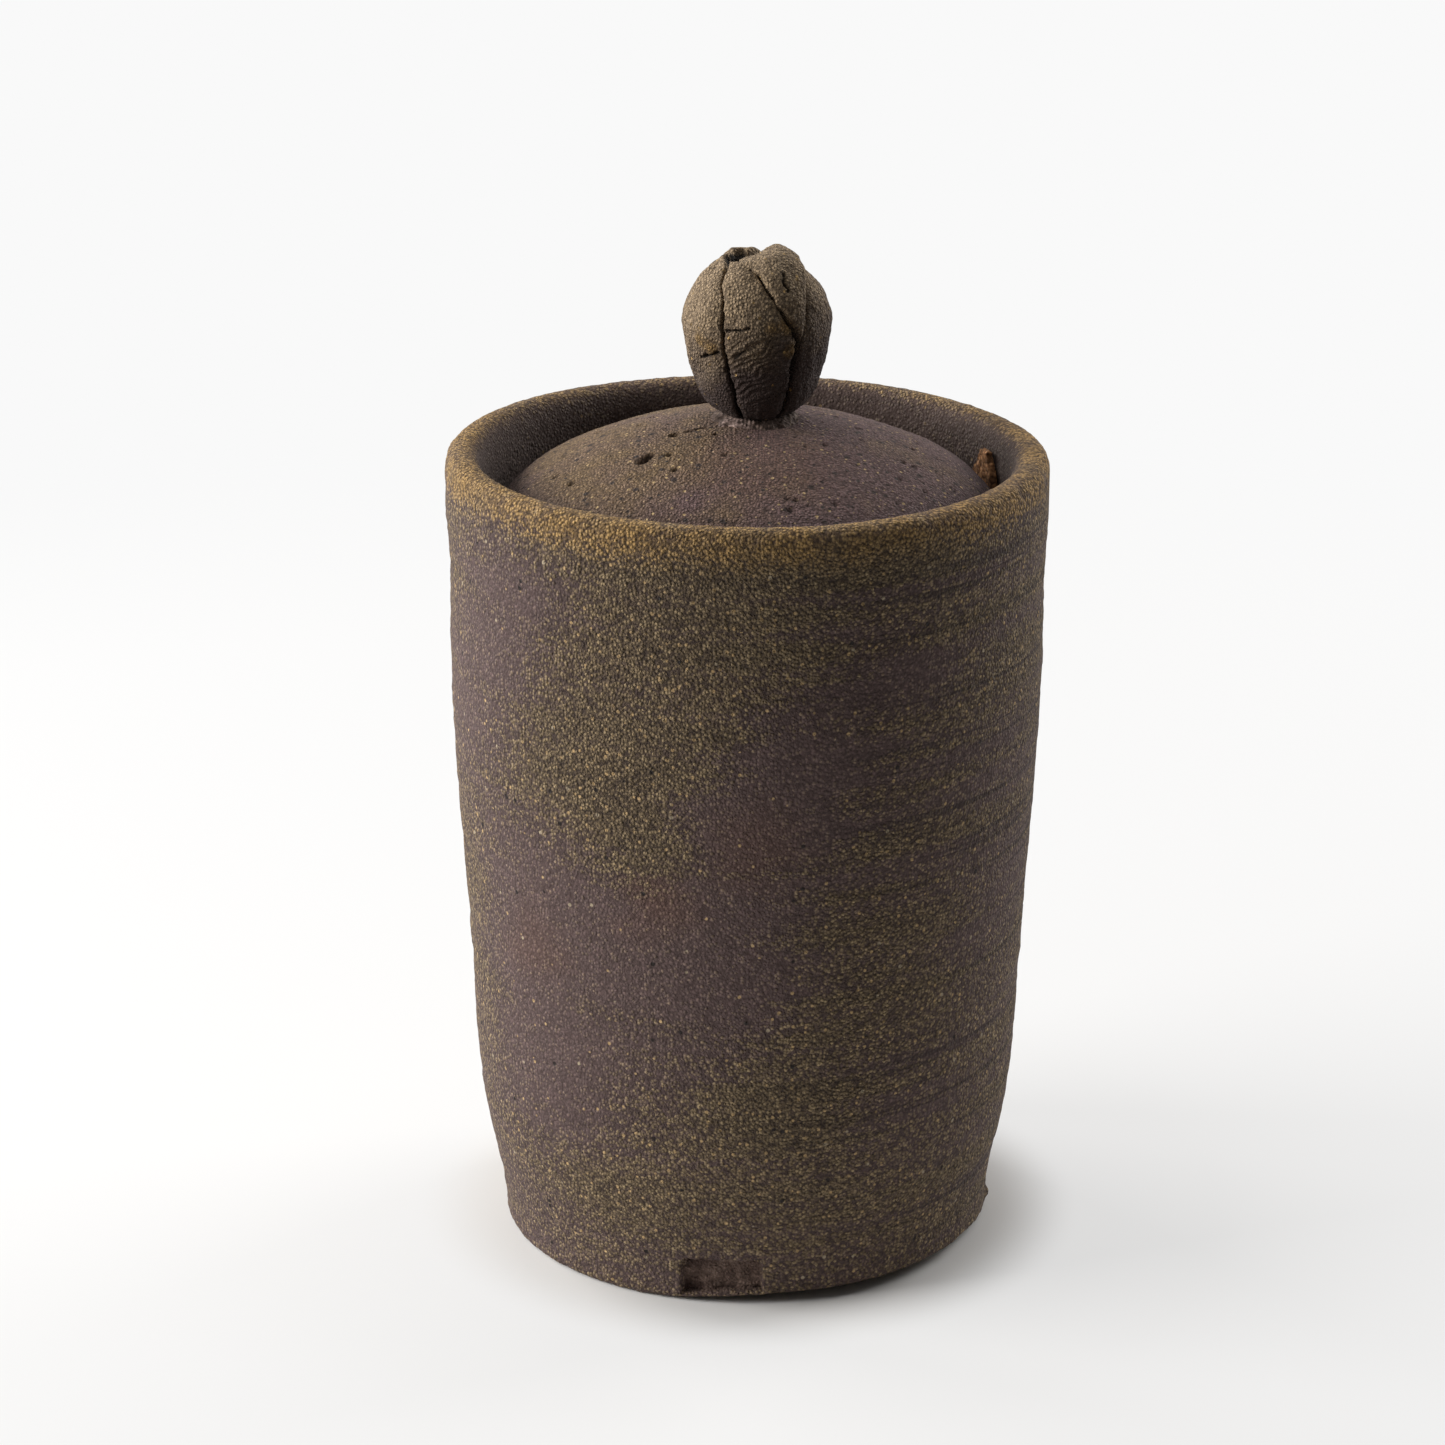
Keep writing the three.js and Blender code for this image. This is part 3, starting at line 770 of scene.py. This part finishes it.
# The same stoneware where the ash was thinner. The eye sees brown-mauve clay with pale grit and small
# dark pits, warm in the middle and purple-grey towards its edge.
cover = grainy_clay("wood_fired_stoneware_lid", LID_GRIT)
clay = cover.material
lid_x = add_node(clay, "SeparateXYZ", {"Vector": cover.place}).node.outputs["X"]
lid_cloud = add_node(clay, "TexNoise", {"Vector": cover.place, "Scale": per_metre(9), "Detail": 4})
lid_drift = add_node(clay, "MapRange", {"Value": lid_cloud, "From Min": 0.32, "From Max": 0.68})
lid_side = add_node(
    clay,
    "MapRange",
    {"Value": lid_x, "From Min": -24 * MM, "From Max": 18 * MM, "To Min": -0.4, "To Max": 0.6},
)
lid_mauve = add_node(clay, "Math", {0: lid_side, 1: lid_drift}, operation="ADD", use_clamp=True)
lid_tops = add_node(clay, "MixRGB", {"Fac": lid_mauve, "Color1": "#816849", "Color2": "#6f5653"})
reddened = soft_spot(clay, cover.place, centre=(2, -15, 111), reach=14, core=3, strength=0.6)
edge = {"Value": from_axis(cover), "From Min": (LID - 8) * MM, "From Max": (LID - 2) * MM}
lid_edge = add_node(clay, "MapRange", {**edge, "To Max": 0.75}, **SMOOTH)
for amount, over in [(reddened, "#6d4f42"), (lid_edge, "#594649")]:
    lid_tops = add_node(clay, "MixRGB", {"Fac": amount, "Color1": lid_tops, "Color2": over})
lid_grit_and_pit_shade = [(0.55, 0.15, "#a1876a"), (0.8, 0.1, "#b0956b")]
# These two dark kinds are spots of painted shade that stand for small pits
lid_grit_and_pit_shade += [(0.95, 0.13, "#241a15"), (1.6, 0.16, "#2a1f1a")]
lid_colour = flecks(cover, shade_between_grains(cover, lid_tops), lid_grit_and_pit_shade)
finish_clay(cover, shade_painted_in_pits(cover, lid_colour), relief=0.3 * MM)
lid.data.materials.append(clay)

# Luting slip. A smear of wet clay that glued the knob to the lid, squeezed out round its foot and dried
# to a thin crust, pale where it flaked.
slip_low, slip_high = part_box("luting_slip")
POD_X = (slip_low.x + slip_high.x) / 2 / MM
POD_FOOT = slip_high.z / MM
SLIP_REACH = (slip_high.x - slip_low.x) / 2 / MM
SLIP_PROFILE = [
    (0, POD_FOOT - 1.4, SHARP),
    (SLIP_REACH - 0.1, POD_FOOT - 1.4, SOFT),
    (SLIP_REACH - 0.2, POD_FOOT - 0.95, SOFT),
    (SLIP_REACH - 1, POD_FOOT - 0.45, SOFT),
    (SLIP_REACH - 1.7, POD_FOOT - 0.05, SOFT),
    (0, POD_FOOT - 0.02, SHARP),
]
SLIP_SPACING = 0.25
SLIP_STEPS = 160
SLIP_RUN_SIZE = 1.6
SLIP_RUN = 0.16
SLIP_EDGE = (3, 5)
SLIP_CRUMBS = [(0.7, 0.22)]
SLIP_GRIT = 0.5


def moved_to_pod(piece):
    """Moves a piece that was turned round the jar's axis to the pod's own axis."""
    make_active(piece)
    bpy.ops.transform.translate(value=(POD_X * MM, 0, 0))
    bpy.ops.object.transform_apply(location=True, rotation=False, scale=False)


def ragged(place, normal):
    """Lets the slip's edge run in and out."""
    outward = Vector((place.x - POD_X, place.y, 0))
    run = noise.noise(Vector((place.x / SLIP_RUN_SIZE, place.y / SLIP_RUN_SIZE, 0)))
    at_edge = ease(outward.length, *SLIP_EDGE)
    return outward * (SLIP_RUN * run * at_edge) + normal * lumps(place, SLIP_CRUMBS)


slip = turned("luting_crust", [(SLIP_PROFILE, SLIP_SPACING)], SLIP_STEPS)
moved_to_pod(slip)
sculpt(slip, ragged)
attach(slip, "lid")
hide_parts("luting_slip")

# Dry clay slip. The eye sees the lid's brown with a chalky pink bloom at the front.
crust = grainy_clay("dry_luting_slip", SLIP_GRIT)
clay = crust.material
slip_colour = flecks(crust, "#5f4d43", [(0.8, 0.15, "#83705e")])
bloom_centre = (POD_X - 2.9, -4.9, POD_FOOT)
near_bloom = soft_spot(clay, crust.place, bloom_centre, reach=3, core=0.6, strength=0.85, fade="LINEAR")
bloom = add_node(clay, "Math", {0: near_bloom, 1: crust.tops}, operation="MULTIPLY")
slip_colour = add_node(
    clay, "MixRGB", {"Fac": bloom, "Color1": shade_between_grains(crust, slip_colour), "Color2": "#b59b91"}
)
finish_clay(crust, slip_colour, relief=0.22 * MM)
slip.data.materials.append(clay)

# Seed core. The peg of clay in the middle of the pod, which the lobes were pressed round. Only its
# dark top shows, down the hole between the lobes' tips.
POD_RISE = cad_high.z / MM - POD_FOOT
CORE_PROFILE = [
    (0, POD_FOOT + 0.1, SHARP),
    (2, POD_FOOT + 0.1, SOFT),
    (2.4, POD_FOOT + 1, SOFT),
    (2.8, POD_FOOT + 8, SOFT),
    (2.6, POD_FOOT + 14, SOFT),
    (1.5, POD_FOOT + 16.5, SOFT),
    (0, POD_FOOT + 17, SHARP),
]
CORE_SPACING = 0.4
CORE_STEPS = 64
core = turned("pod_core", [(CORE_PROFILE, CORE_SPACING)], CORE_STEPS)
moved_to_pod(core)
roughen(core, "CLOUDS", size=1.4, depth=0.4, noise_depth=2)
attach(core, "lid")
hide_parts("seed_core")

# The pod's stoneware. The eye sees olive-brown grain on the shoulders, darker purple-brown below, and gold
# ash flecks caught on torn edges. How far the olive reaches is partly the clay's own tone and partly
# painted light: it is painted lighter high and on the left, where the light falls, and darker low and on
# the right, where shade lies. A torn edge is its angle, its share of the pod's height and its reach.
TORN_EDGES = [(12, 0.6, 1.4), (24, 0.6, 1.7), (28, 0.46, 1.6), (-39, 0.46, 1.8), (-50, 0.5, 1.5)]
TORN_RADIUS = 9.5
POD_GRIT = 0.38
pod = grainy_clay("wood_fired_stoneware_pod", POD_GRIT)
clay = pod.material
pod_axes = add_node(clay, "SeparateXYZ", {"Vector": pod.place}).node.outputs
pod_drift = add_node(clay, "TexNoise", {"Vector": pod.place, "Scale": per_metre(4), "Detail": 2})
pod_width = {"From Min": (POD_X - 9) * MM, "From Max": (POD_X + 8) * MM}
# Painted light: the olive grows towards the left and the top and fades low and on the right
painted_side_light = add_node(
    clay, "MapRange", {"Value": pod_axes["X"], "To Min": 0.42, "To Max": -0.26, **pod_width}
)
pod_height = {"From Min": (POD_FOOT + 2) * MM, "From Max": (POD_FOOT + 21) * MM}
painted_top_light = add_node(clay, "MapRange", {"Value": pod_axes["Z"], "To Min": -1, "To Max": 0.85, **pod_height})
painted_pod_light = add_node(clay, "Math", {0: painted_top_light, 1: painted_side_light}, operation="ADD")
olive_and_painted_light = add_node(clay, "Math", {0: painted_pod_light, 1: pod_drift}, operation="ADD", use_clamp=True)
pod_tops = add_node(clay, "MixRGB", {"Fac": olive_and_painted_light, "Color1": "#483933", "Color2": "#a68e6f"})
for angle, share, reach in TORN_EDGES:
    centre = around(angle, TORN_RADIUS, POD_FOOT + share * POD_RISE, POD_X)
    torn = soft_spot(clay, pod.place, centre, reach, core=0.2 * reach, strength=0.6)
    pod_tops = add_node(clay, "MixRGB", {"Fac": torn, "Color1": pod_tops, "Color2": "#94702f"})
pod_tops = flecks(pod, pod_tops, [(0.8, 0.06, "#c9a468")])
pod_colour = shade_painted_in_pits(pod, shade_between_grains(pod, pod_tops))

# The hole between the tips is painted near-black as painted shade, over a patch longer from front to back
# than it is wide
hole_level = add_node(clay, "VectorMath", {0: pod.place, 1: (1, 0.6, 0)}, operation="MULTIPLY")
hole_centre = (POD_X - 2.5, 0.4, 0)
in_hole = soft_spot(clay, hole_level, hole_centre, reach=1.8, core=1.3, strength=1, fade="LINEAR")
hole_fall = {"From Min": (POD_FOOT + 20.9) * MM, "From Max": (POD_FOOT + 20.3) * MM}
down_hole = add_node(clay, "MapRange", {"Value": pod_axes["Z"], "To Max": 0.95, **hole_fall})
painted_hole_shade = add_node(clay, "Math", {0: in_hole, 1: down_hole}, operation="MULTIPLY")
pod_colour = add_node(clay, "MixRGB", {"Fac": painted_hole_shade, "Color1": pod_colour, "Color2": "#0d0907"})
finish_clay(pod, pod_colour, relief=0.34 * MM)
core.data.materials.append(clay)

# Seed lobes. Six wedges of clay modelled by hand and pressed together like a split pod, each with its
# own skin, torn and cracked along the splits as it dried.
POD_SKIN = [
    (4.9, 0, SHARP),
    (6.3, 1.1, SOFT),
    (7.5, 3, SOFT),
    (8.5, 5.6, SOFT),
    (9.3, 8.8, SOFT),
    (9.7, 12.3, SOFT),
    (9.35, 15, SOFT),
    (8.3, 18, SOFT),
    (6.9, 20, SOFT),
    (5.1, 21.4, SOFT),
    (3.3, 22.1, SOFT),
    (1.2, 22, SHARP),
]
SKIN_SPACING = 0.25
SKIN_STEPS = 240
LOBE_ROOT = ((POD_X - 0.8) * MM, 0, (POD_FOOT + 9.5) * MM)
LOBE_INNER = (0.34, 0.34, 0.62)
LOBE_VOXEL = 0.17
LOBE_ROUNDING = 5
LOBE_EDGE_TURN = 0.35
LEAN_NEAR = (1.2, 6)
LEAN_ABOVE = (0.8, 0.95)
DROP_ABOVE = (0.5, 1)

# Each split runs up the pod as pairs of height, in shares of the pod, and angle from the front, and
# its gap as pairs of height and half width. The front lobe and the cap share one torn edge below
FRONT_TEAR = [(0, 35), (0.36, 35), (0.46, 37), (0.52, 36), (0.55, 31), (0.57, 33), (0.63, 26)]
FRONT_TEAR += [(0.69, 23), (0.73, 18), (0.77, 17), (0.81, 13)]
TEAR_GAP = [(0, 0.4), (0.3, 0.5), (0.5, 0.6), (0.6, 0.2), (0.7, 0.04), (1, 0.04)]
SPLITS = {
    "left_cleft": (
        [(0, -21), (0.2, -22), (0.4, -26), (0.7, -29), (0.8, -31), (0.9, -42), (0.95, -48), (1, -58)],
        [(0, 0.36), (0.4, 0.28), (0.7, 0.22), (1, 0.2)],
    ),
    "front_tear": (FRONT_TEAR + [(0.91, 6), (1, -2)], TEAR_GAP),
    "cap_edge": (FRONT_TEAR + [(0.9, 6), (0.95, -8), (1, -42)], TEAR_GAP),
    "cap_seam": (
        [(0, 35), (0.46, 36), (0.6, 44), (0.78, 52), (0.87, 62), (0.93, 82), (1, 125)],
        [(0, 0.4), (0.45, 0.4), (0.6, 0.1), (1, 0.06)],
    ),
    "right_split": ([(0, 125), (1, 135)], [(0, 0.4), (1, 0.3)]),
    "back_split": ([(0, 185), (0.8, 185), (1, 165)], [(0, 0.4), (1, 0.2)]),
    "left_split": ([(0, 250), (0.8, 247), (1, 230)], [(0, 0.4), (1, 0.3)]),
}

# Each lobe lies between two splits. Its tip stands so much lower than the pod's top, ends so far from
# the hole there and leans so far towards it, and its skin stands out or lies back by its bulge
LOBES = [
    ("front", "left_cleft", "front_tear", 1.4, 2.7, 1.9, 0.15),
    ("cap", "cap_edge", "cap_seam", 0, 0.9, 0.7, 0.2),
    ("right", "cap_seam", "right_split", 1.9, 2.4, 0.6, 0.2),
    ("back", "right_split", "back_split", 1.5, 2.2, 0.8, 0),
    ("back_left", "back_split", "left_split", 0.8, 2.6, 1.8, 0.1),
    ("left", "left_split", "left_cleft", 1.5, 3, 2.3, -0.2),
]


def along(line, share):
    """Reads a line of pairs at a share of the pod's height."""
    for (low, low_value), (high, high_value) in zip(line, line[1:]):
        if share <= high:
            return low_value + (high_value - low_value) * (share - low) / (high - low)
    return line[-1][1]


def pod_place(place):
    """A point's angle from the front in degrees, its radius and its share of the pod's height."""
    angle = math.degrees(math.atan2(place.x - POD_X, -place.y))
    return angle, math.hypot(place.x - POD_X, place.y), (place.z - POD_FOOT) / POD_RISE


def pod_lobe(name, first, second, drop, tip, lean, bulge):
    """Cuts one lobe's skin out of the pod, thickens it towards the core and rounds its edges."""
    piece = skin.copy()
    piece.data = skin.data.copy()
    piece.name = f"pod_lobe_{name}"
    bpy.context.scene.collection.objects.link(piece)
    make_active(piece)
    bpy.ops.object.mode_set(mode="EDIT")
    shape = bmesh.from_edit_mesh(piece.data)
    first_line, first_gap = SPLITS[first]
    second_line, second_gap = SPLITS[second]

    def across(place):
        """How far a point lies across the lobe, from -1 at one split to 1 at the other."""
        angle, radius, share = pod_place(place)
        start = along(first_line, share) + math.degrees(along(first_gap, share) / radius)
        end = along(second_line, share) - math.degrees(along(second_gap, share) / radius)
        if second == "left_cleft":
            end += 360
        middle = (start + end) / 2
        half = (end - start) / 2
        turn = (angle - middle + 180) % 360 - 180
        return turn / max(half, 0.01)

    bpy.ops.mesh.select_all(action="DESELECT")
    for face in shape.faces:
        middle = face.calc_center_median() / MM
        cut_off = middle.z > POD_FOOT + POD_RISE / 2 and pod_place(middle)[1] < tip
        face.select_set(cut_off or abs(across(middle)) > 1)
    bpy.ops.mesh.delete(type="FACE")
    shape = bmesh.from_edit_mesh(piece.data)
    for vertex in shape.verts:
        place = vertex.co / MM
        angle, radius, share = pod_place(place)
        edge = min(abs(across(place)), 1)
        swell = 1 + (bulge * (1 - edge**2) - LOBE_EDGE_TURN * edge**6) / max(radius, 3)
        shift = lean * (1 - ease(radius, *LEAN_NEAR)) * ease(share, *LEAN_ABOVE)
        vertex.co.x = (POD_X + (place.x - POD_X) * swell - shift) * MM
        vertex.co.y = place.y * swell * MM
        vertex.co.z -= drop * ease(share, *DROP_ABOVE) * MM
    bmesh.update_edit_mesh(piece.data)
    bpy.ops.mesh.select_all(action="SELECT")
    bpy.ops.mesh.extrude_region()
    bpy.ops.transform.resize(value=LOBE_INNER, center_override=LOBE_ROOT)
    bpy.ops.mesh.select_all(action="SELECT")
    bpy.ops.mesh.normals_make_consistent(inside=False)
    bpy.ops.object.mode_set(mode="OBJECT")
    solid = piece.modifiers.new("solid", "REMESH")
    solid.mode = "VOXEL"
    solid.voxel_size = LOBE_VOXEL * MM
    bpy.ops.object.modifier_apply(modifier=solid.name)
    rounded = piece.modifiers.new("rounded", "SMOOTH")
    rounded.factor = 0.5
    rounded.iterations = LOBE_ROUNDING
    bpy.ops.object.modifier_apply(modifier=rounded.name)
    bpy.ops.object.shade_smooth()
    return piece


CAP_FALL = 0.3
CAP_CREST = 2.5
CAP_ABOVE = (0.82, 0.97)
WRINKLE_MIDDLE = 5
WRINKLE_SIDES = (25, 38)
WRINKLE_STARTS = (0.08, 0.2)
WRINKLE_ENDS = (0.52, 0.62)
WRINKLE_SPACING = 0.8
WRINKLE_DEPTH = 0.1
WRINKLE_BEND = 2.2
WRINKLE_RISE = 0.86
WRINKLE_SLANT = 0.5
FURROW_WIDTH = 1.3
FURROW_LENGTH = 6
FURROW_TURN = 60
FURROW_DEPTH = 0.1


def humped(place, normal):
    """Lets the cap's top fall towards the hole."""
    from_crest = max(0, CAP_CREST - (place.x - POD_X))
    return Vector((0, 0, -CAP_FALL * from_crest * ease(pod_place(place)[2], *CAP_ABOVE)))


def wrinkled(place, normal):
    """Fine slanted wrinkles where the front lobe was squeezed, and long furrows on the others."""
    angle, radius, share = pod_place(place)
    sideways = math.radians(angle) * radius
    rise = place.z - POD_FOOT
    in_front = 1 - ease(abs(angle - WRINKLE_MIDDLE), *WRINKLE_SIDES)
    low_front = ease(share, *WRINKLE_STARTS) * (1 - ease(share, *WRINKLE_ENDS)) * in_front
    slanted = rise * WRINKLE_RISE - sideways * WRINKLE_SLANT + noise.noise(place / WRINKLE_BEND)
    wrinkle = WRINKLE_DEPTH * math.sin(math.tau * slanted / WRINKLE_SPACING)
    furrow_place = Vector((sideways / FURROW_WIDTH, rise / FURROW_LENGTH, angle / FURROW_TURN))
    furrow = FURROW_DEPTH * noise.noise(furrow_place)
    outward = Vector((place.x - POD_X, place.y, 0)).normalized()
    depth = wrinkle * low_front + furrow * (1 - low_front)
    return normal * depth * ease(outward.dot(normal), 0, 0.5)


def skin_point(angle, share):
    """The point of the pod's skin at that angle and share of its height."""
    rise = share * POD_RISE
    radius = along([(height, reach) for reach, height, bend in POD_SKIN], rise)
    return around(angle, radius, POD_FOOT + rise, POD_X)


# Each crack runs through points of angle and share, and has its width and depth
CRACKS = [
    ([(-26, 0.57), (-19, 0.575), (-13, 0.59), (-4, 0.605)], 0.28, 0.24),
    ([(29, 0.89), (28, 0.85), (30, 0.79)], 0.28, 0.22),
    ([(-52, 0.38), (-45, 0.41), (-40, 0.41), (-31, 0.43)], 0.32, 0.28),
    ([(-16, 0.42), (-12, 0.44), (-8, 0.47)], 0.26, 0.16),
    ([(78, 0.5), (80, 0.45)], 0.36, 0.3),
    ([(150, 0.7), (158, 0.62), (155, 0.55)], 0.36, 0.25),
    ([(222, 0.5), (228, 0.56), (238, 0.57)], 0.36, 0.25),
]
CRACK_STEP = 0.12
CRACK_BEND = 0.9
CRACK_WANDER = 0.2
CRACK_WIDTH = 0.9
CRACK_UNEVEN = 0.5
crack_marks = []
for line, reach, depth in CRACKS:
    for (start_angle, start_share), (end_angle, end_share) in zip(line, line[1:]):
        start = skin_point(start_angle, start_share)
        end = skin_point(end_angle, end_share)
        count = math.ceil((end - start).length / CRACK_STEP)
        for step in range(count):
            spot = start.lerp(end, step / count)
            spot += noise.noise_vector(spot / CRACK_BEND) * CRACK_WANDER
            width = CRACK_WIDTH + CRACK_UNEVEN * noise.noise(spot / CRACK_BEND)
            crack_marks.append((spot, reach * width, depth))

pod_stroke = [(radius, POD_FOOT + height, bend) for radius, height, bend in POD_SKIN]
skin = turned("pod_skin", [(pod_stroke, SKIN_SPACING)], SKIN_STEPS)
moved_to_pod(skin)
for name, *shape in LOBES:
    lobe = pod_lobe(name, *shape)
    if name == "cap":
        sculpt(lobe, humped)
    roughen(lobe, "CLOUDS", size=3.2, depth=0.5, noise_depth=1)
    sculpt(lobe, wrinkled)
    dent(lobe, crack_marks)
    roughen(lobe, "VORONOI", size=0.7, depth=-0.12)
    lobe.data.materials.append(pod.material)
    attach(lobe, "lid")
    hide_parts(f"seed_lobe_{name}")
bpy.data.objects.remove(skin)

# Floor and backdrop. A sheet of white paper under and behind the jar, cut from a roll and laid flat. It
# isn't part of the jar.
PAPER_SIDE = 8
bpy.ops.object.select_all(action="DESELECT")
bpy.ops.mesh.primitive_plane_add(size=PAPER_SIDE)
paper = bpy.context.object
paper.name = "paper_floor"

# Matte white paper. The camera sees it white with the jar's soft shadow on it and plain white further
# off, where it throws back little light, so that the jar's front stays in shade.
PAPER_WHITE = "#f9f9f9"
PAPER_NEAR = "#e7e5e2"
FOOT_REACH = 34
SHADOW_REACH = 39
SHADOW_FADE = 47
SHADOW_SHARE = 0.45
sheet = bpy.data.materials.new("matte_white_paper")
sheet.use_nodes = True
sheet.node_tree.nodes.clear()
paper_place = add_node(sheet, "TexCoord").node.outputs["Object"]
paper_away = add_node(sheet, "VectorMath", {0: paper_place}, operation="LENGTH").node.outputs["Value"]
shadow_edge = {"Value": paper_away, "From Min": FOOT_REACH * MM, "From Max": SHADOW_FADE * MM}
past_foot = add_node(sheet, "MapRange", shadow_edge, **SMOOTH)
nearness = add_node(
    sheet, "Math", {0: SHADOW_REACH * MM, 1: paper_away}, operation="DIVIDE", use_clamp=True
)
shadiness = add_node(sheet, "Math", {0: nearness, 1: 0.6}, operation="POWER")
paleness = add_node(sheet, "MapRange", {"Value": shadiness, "To Min": 1, "To Max": SHADOW_SHARE})
backdrop = add_node(
    sheet, "MapRange", {"Value": paper_away, "From Min": 100 * MM, "From Max": 400 * MM, "To Min": 0.6}
)
plain = add_node(sheet, "Math", {0: paleness, 1: backdrop}, operation="MAXIMUM")
far_off = add_node(sheet, "Math", {0: past_foot, 1: plain}, operation="MULTIPLY")
near_paper = add_node(sheet, "BsdfDiffuse", {"Color": PAPER_NEAR})
far_paper = add_node(sheet, "Emission", {"Color": PAPER_WHITE})
seen_paper = add_node(sheet, "MixShader", {"Fac": far_off, 1: near_paper, 2: far_paper})
thrown_back = add_node(
    sheet,
    "MapRange",
    {"Value": paper_away, "From Min": 60 * MM, "From Max": 350 * MM, "To Min": 0.95, "To Max": 0.3},
)
dim_paper = add_node(sheet, "BsdfDiffuse", {"Color": thrown_back})


def seen_ray(tree_owner):
    """1 for the rays by which the camera sees the backdrop, straight, mirrored or through glass."""
    rays = add_node(tree_owner, "LightPath").node.outputs
    seen = rays["Is Camera Ray"]
    for kind in ("Is Glossy Ray", "Is Transmission Ray"):
        seen = add_node(tree_owner, "Math", {0: seen, 1: rays[kind]}, operation="MAXIMUM")
    return seen


sheet_surface = add_node(sheet, "MixShader", {"Fac": seen_ray(sheet), 1: dim_paper, 2: seen_paper})
sheet_output = sheet.node_tree.nodes.new("ShaderNodeOutputMaterial")
sheet.node_tree.links.new(sheet_surface, sheet_output.inputs["Surface"])
paper.data.materials.append(sheet)

# Light. A wide soft box on the left, a weak one overhead, one on each side at the back, and a dim room
# round them.
MIDDLE = Vector((0, 0, 60 * MM))
WATTS_AT_A_METRE = math.pi**2
ROOM_LEVEL = 0.065


def soft_box(name, azimuth, elevation, distance, size, level):
    """A square lamp that lights a surface facing it at that level, where 1 shows a colour as written."""
    data = bpy.data.lights.new(name, "AREA")
    data.shape = "SQUARE"
    data.size = size
    data.energy = WATTS_AT_A_METRE * distance**2 * level
    rise = math.radians(elevation)
    aim = around(azimuth, math.cos(rise), math.sin(rise))
    lamp = bpy.data.objects.new(name, data)
    lamp.location = MIDDLE + aim * distance
    lamp.rotation_euler = aim.to_track_quat("Z", "Y").to_euler()
    bpy.context.scene.collection.objects.link(lamp)


soft_box("left_box", azimuth=-82, elevation=24, distance=0.65, size=0.4, level=1.3)
soft_box("top_box", azimuth=170, elevation=70, distance=0.8, size=0.6, level=0.25)
soft_box("back_left_box", azimuth=-128, elevation=25, distance=0.8, size=0.4, level=0.55)
soft_box("back_right_box", azimuth=126, elevation=25, distance=0.8, size=0.4, level=0.6)
room = bpy.data.worlds.new("dim_room")
bpy.context.scene.world = room
room.use_nodes = True
room_level = add_node(
    room, "MapRange", {"Value": seen_ray(room), "To Min": ROOM_LEVEL, "To Max": linear(PAPER_WHITE)[0]}
)
room_light = room.node_tree.nodes["Background"]
room_light.inputs["Color"].default_value = linear("#ffffff")
room.node_tree.links.new(room_level, room_light.inputs["Strength"])

# Camera. It stands where the photograph was taken from: a long lens, a little above the rim.
LENS = 105
SENSOR = 36
EYE = (0, -0.5391, 0.2546)
LOOK_DOWN = math.radians(18.86)
LOOK_LEFT = math.radians(0.345)
camera_data = bpy.data.cameras.new("long_lens")
camera_data.sensor_width = SENSOR
camera_data.lens = LENS
camera = bpy.data.objects.new("camera", camera_data)
camera.location = EYE
camera.rotation_euler = (math.pi / 2 - LOOK_DOWN, 0, LOOK_LEFT)
bpy.context.scene.collection.objects.link(camera)
bpy.context.scene.camera = camera
bpy.context.scene.view_settings.view_transform = "Standard"
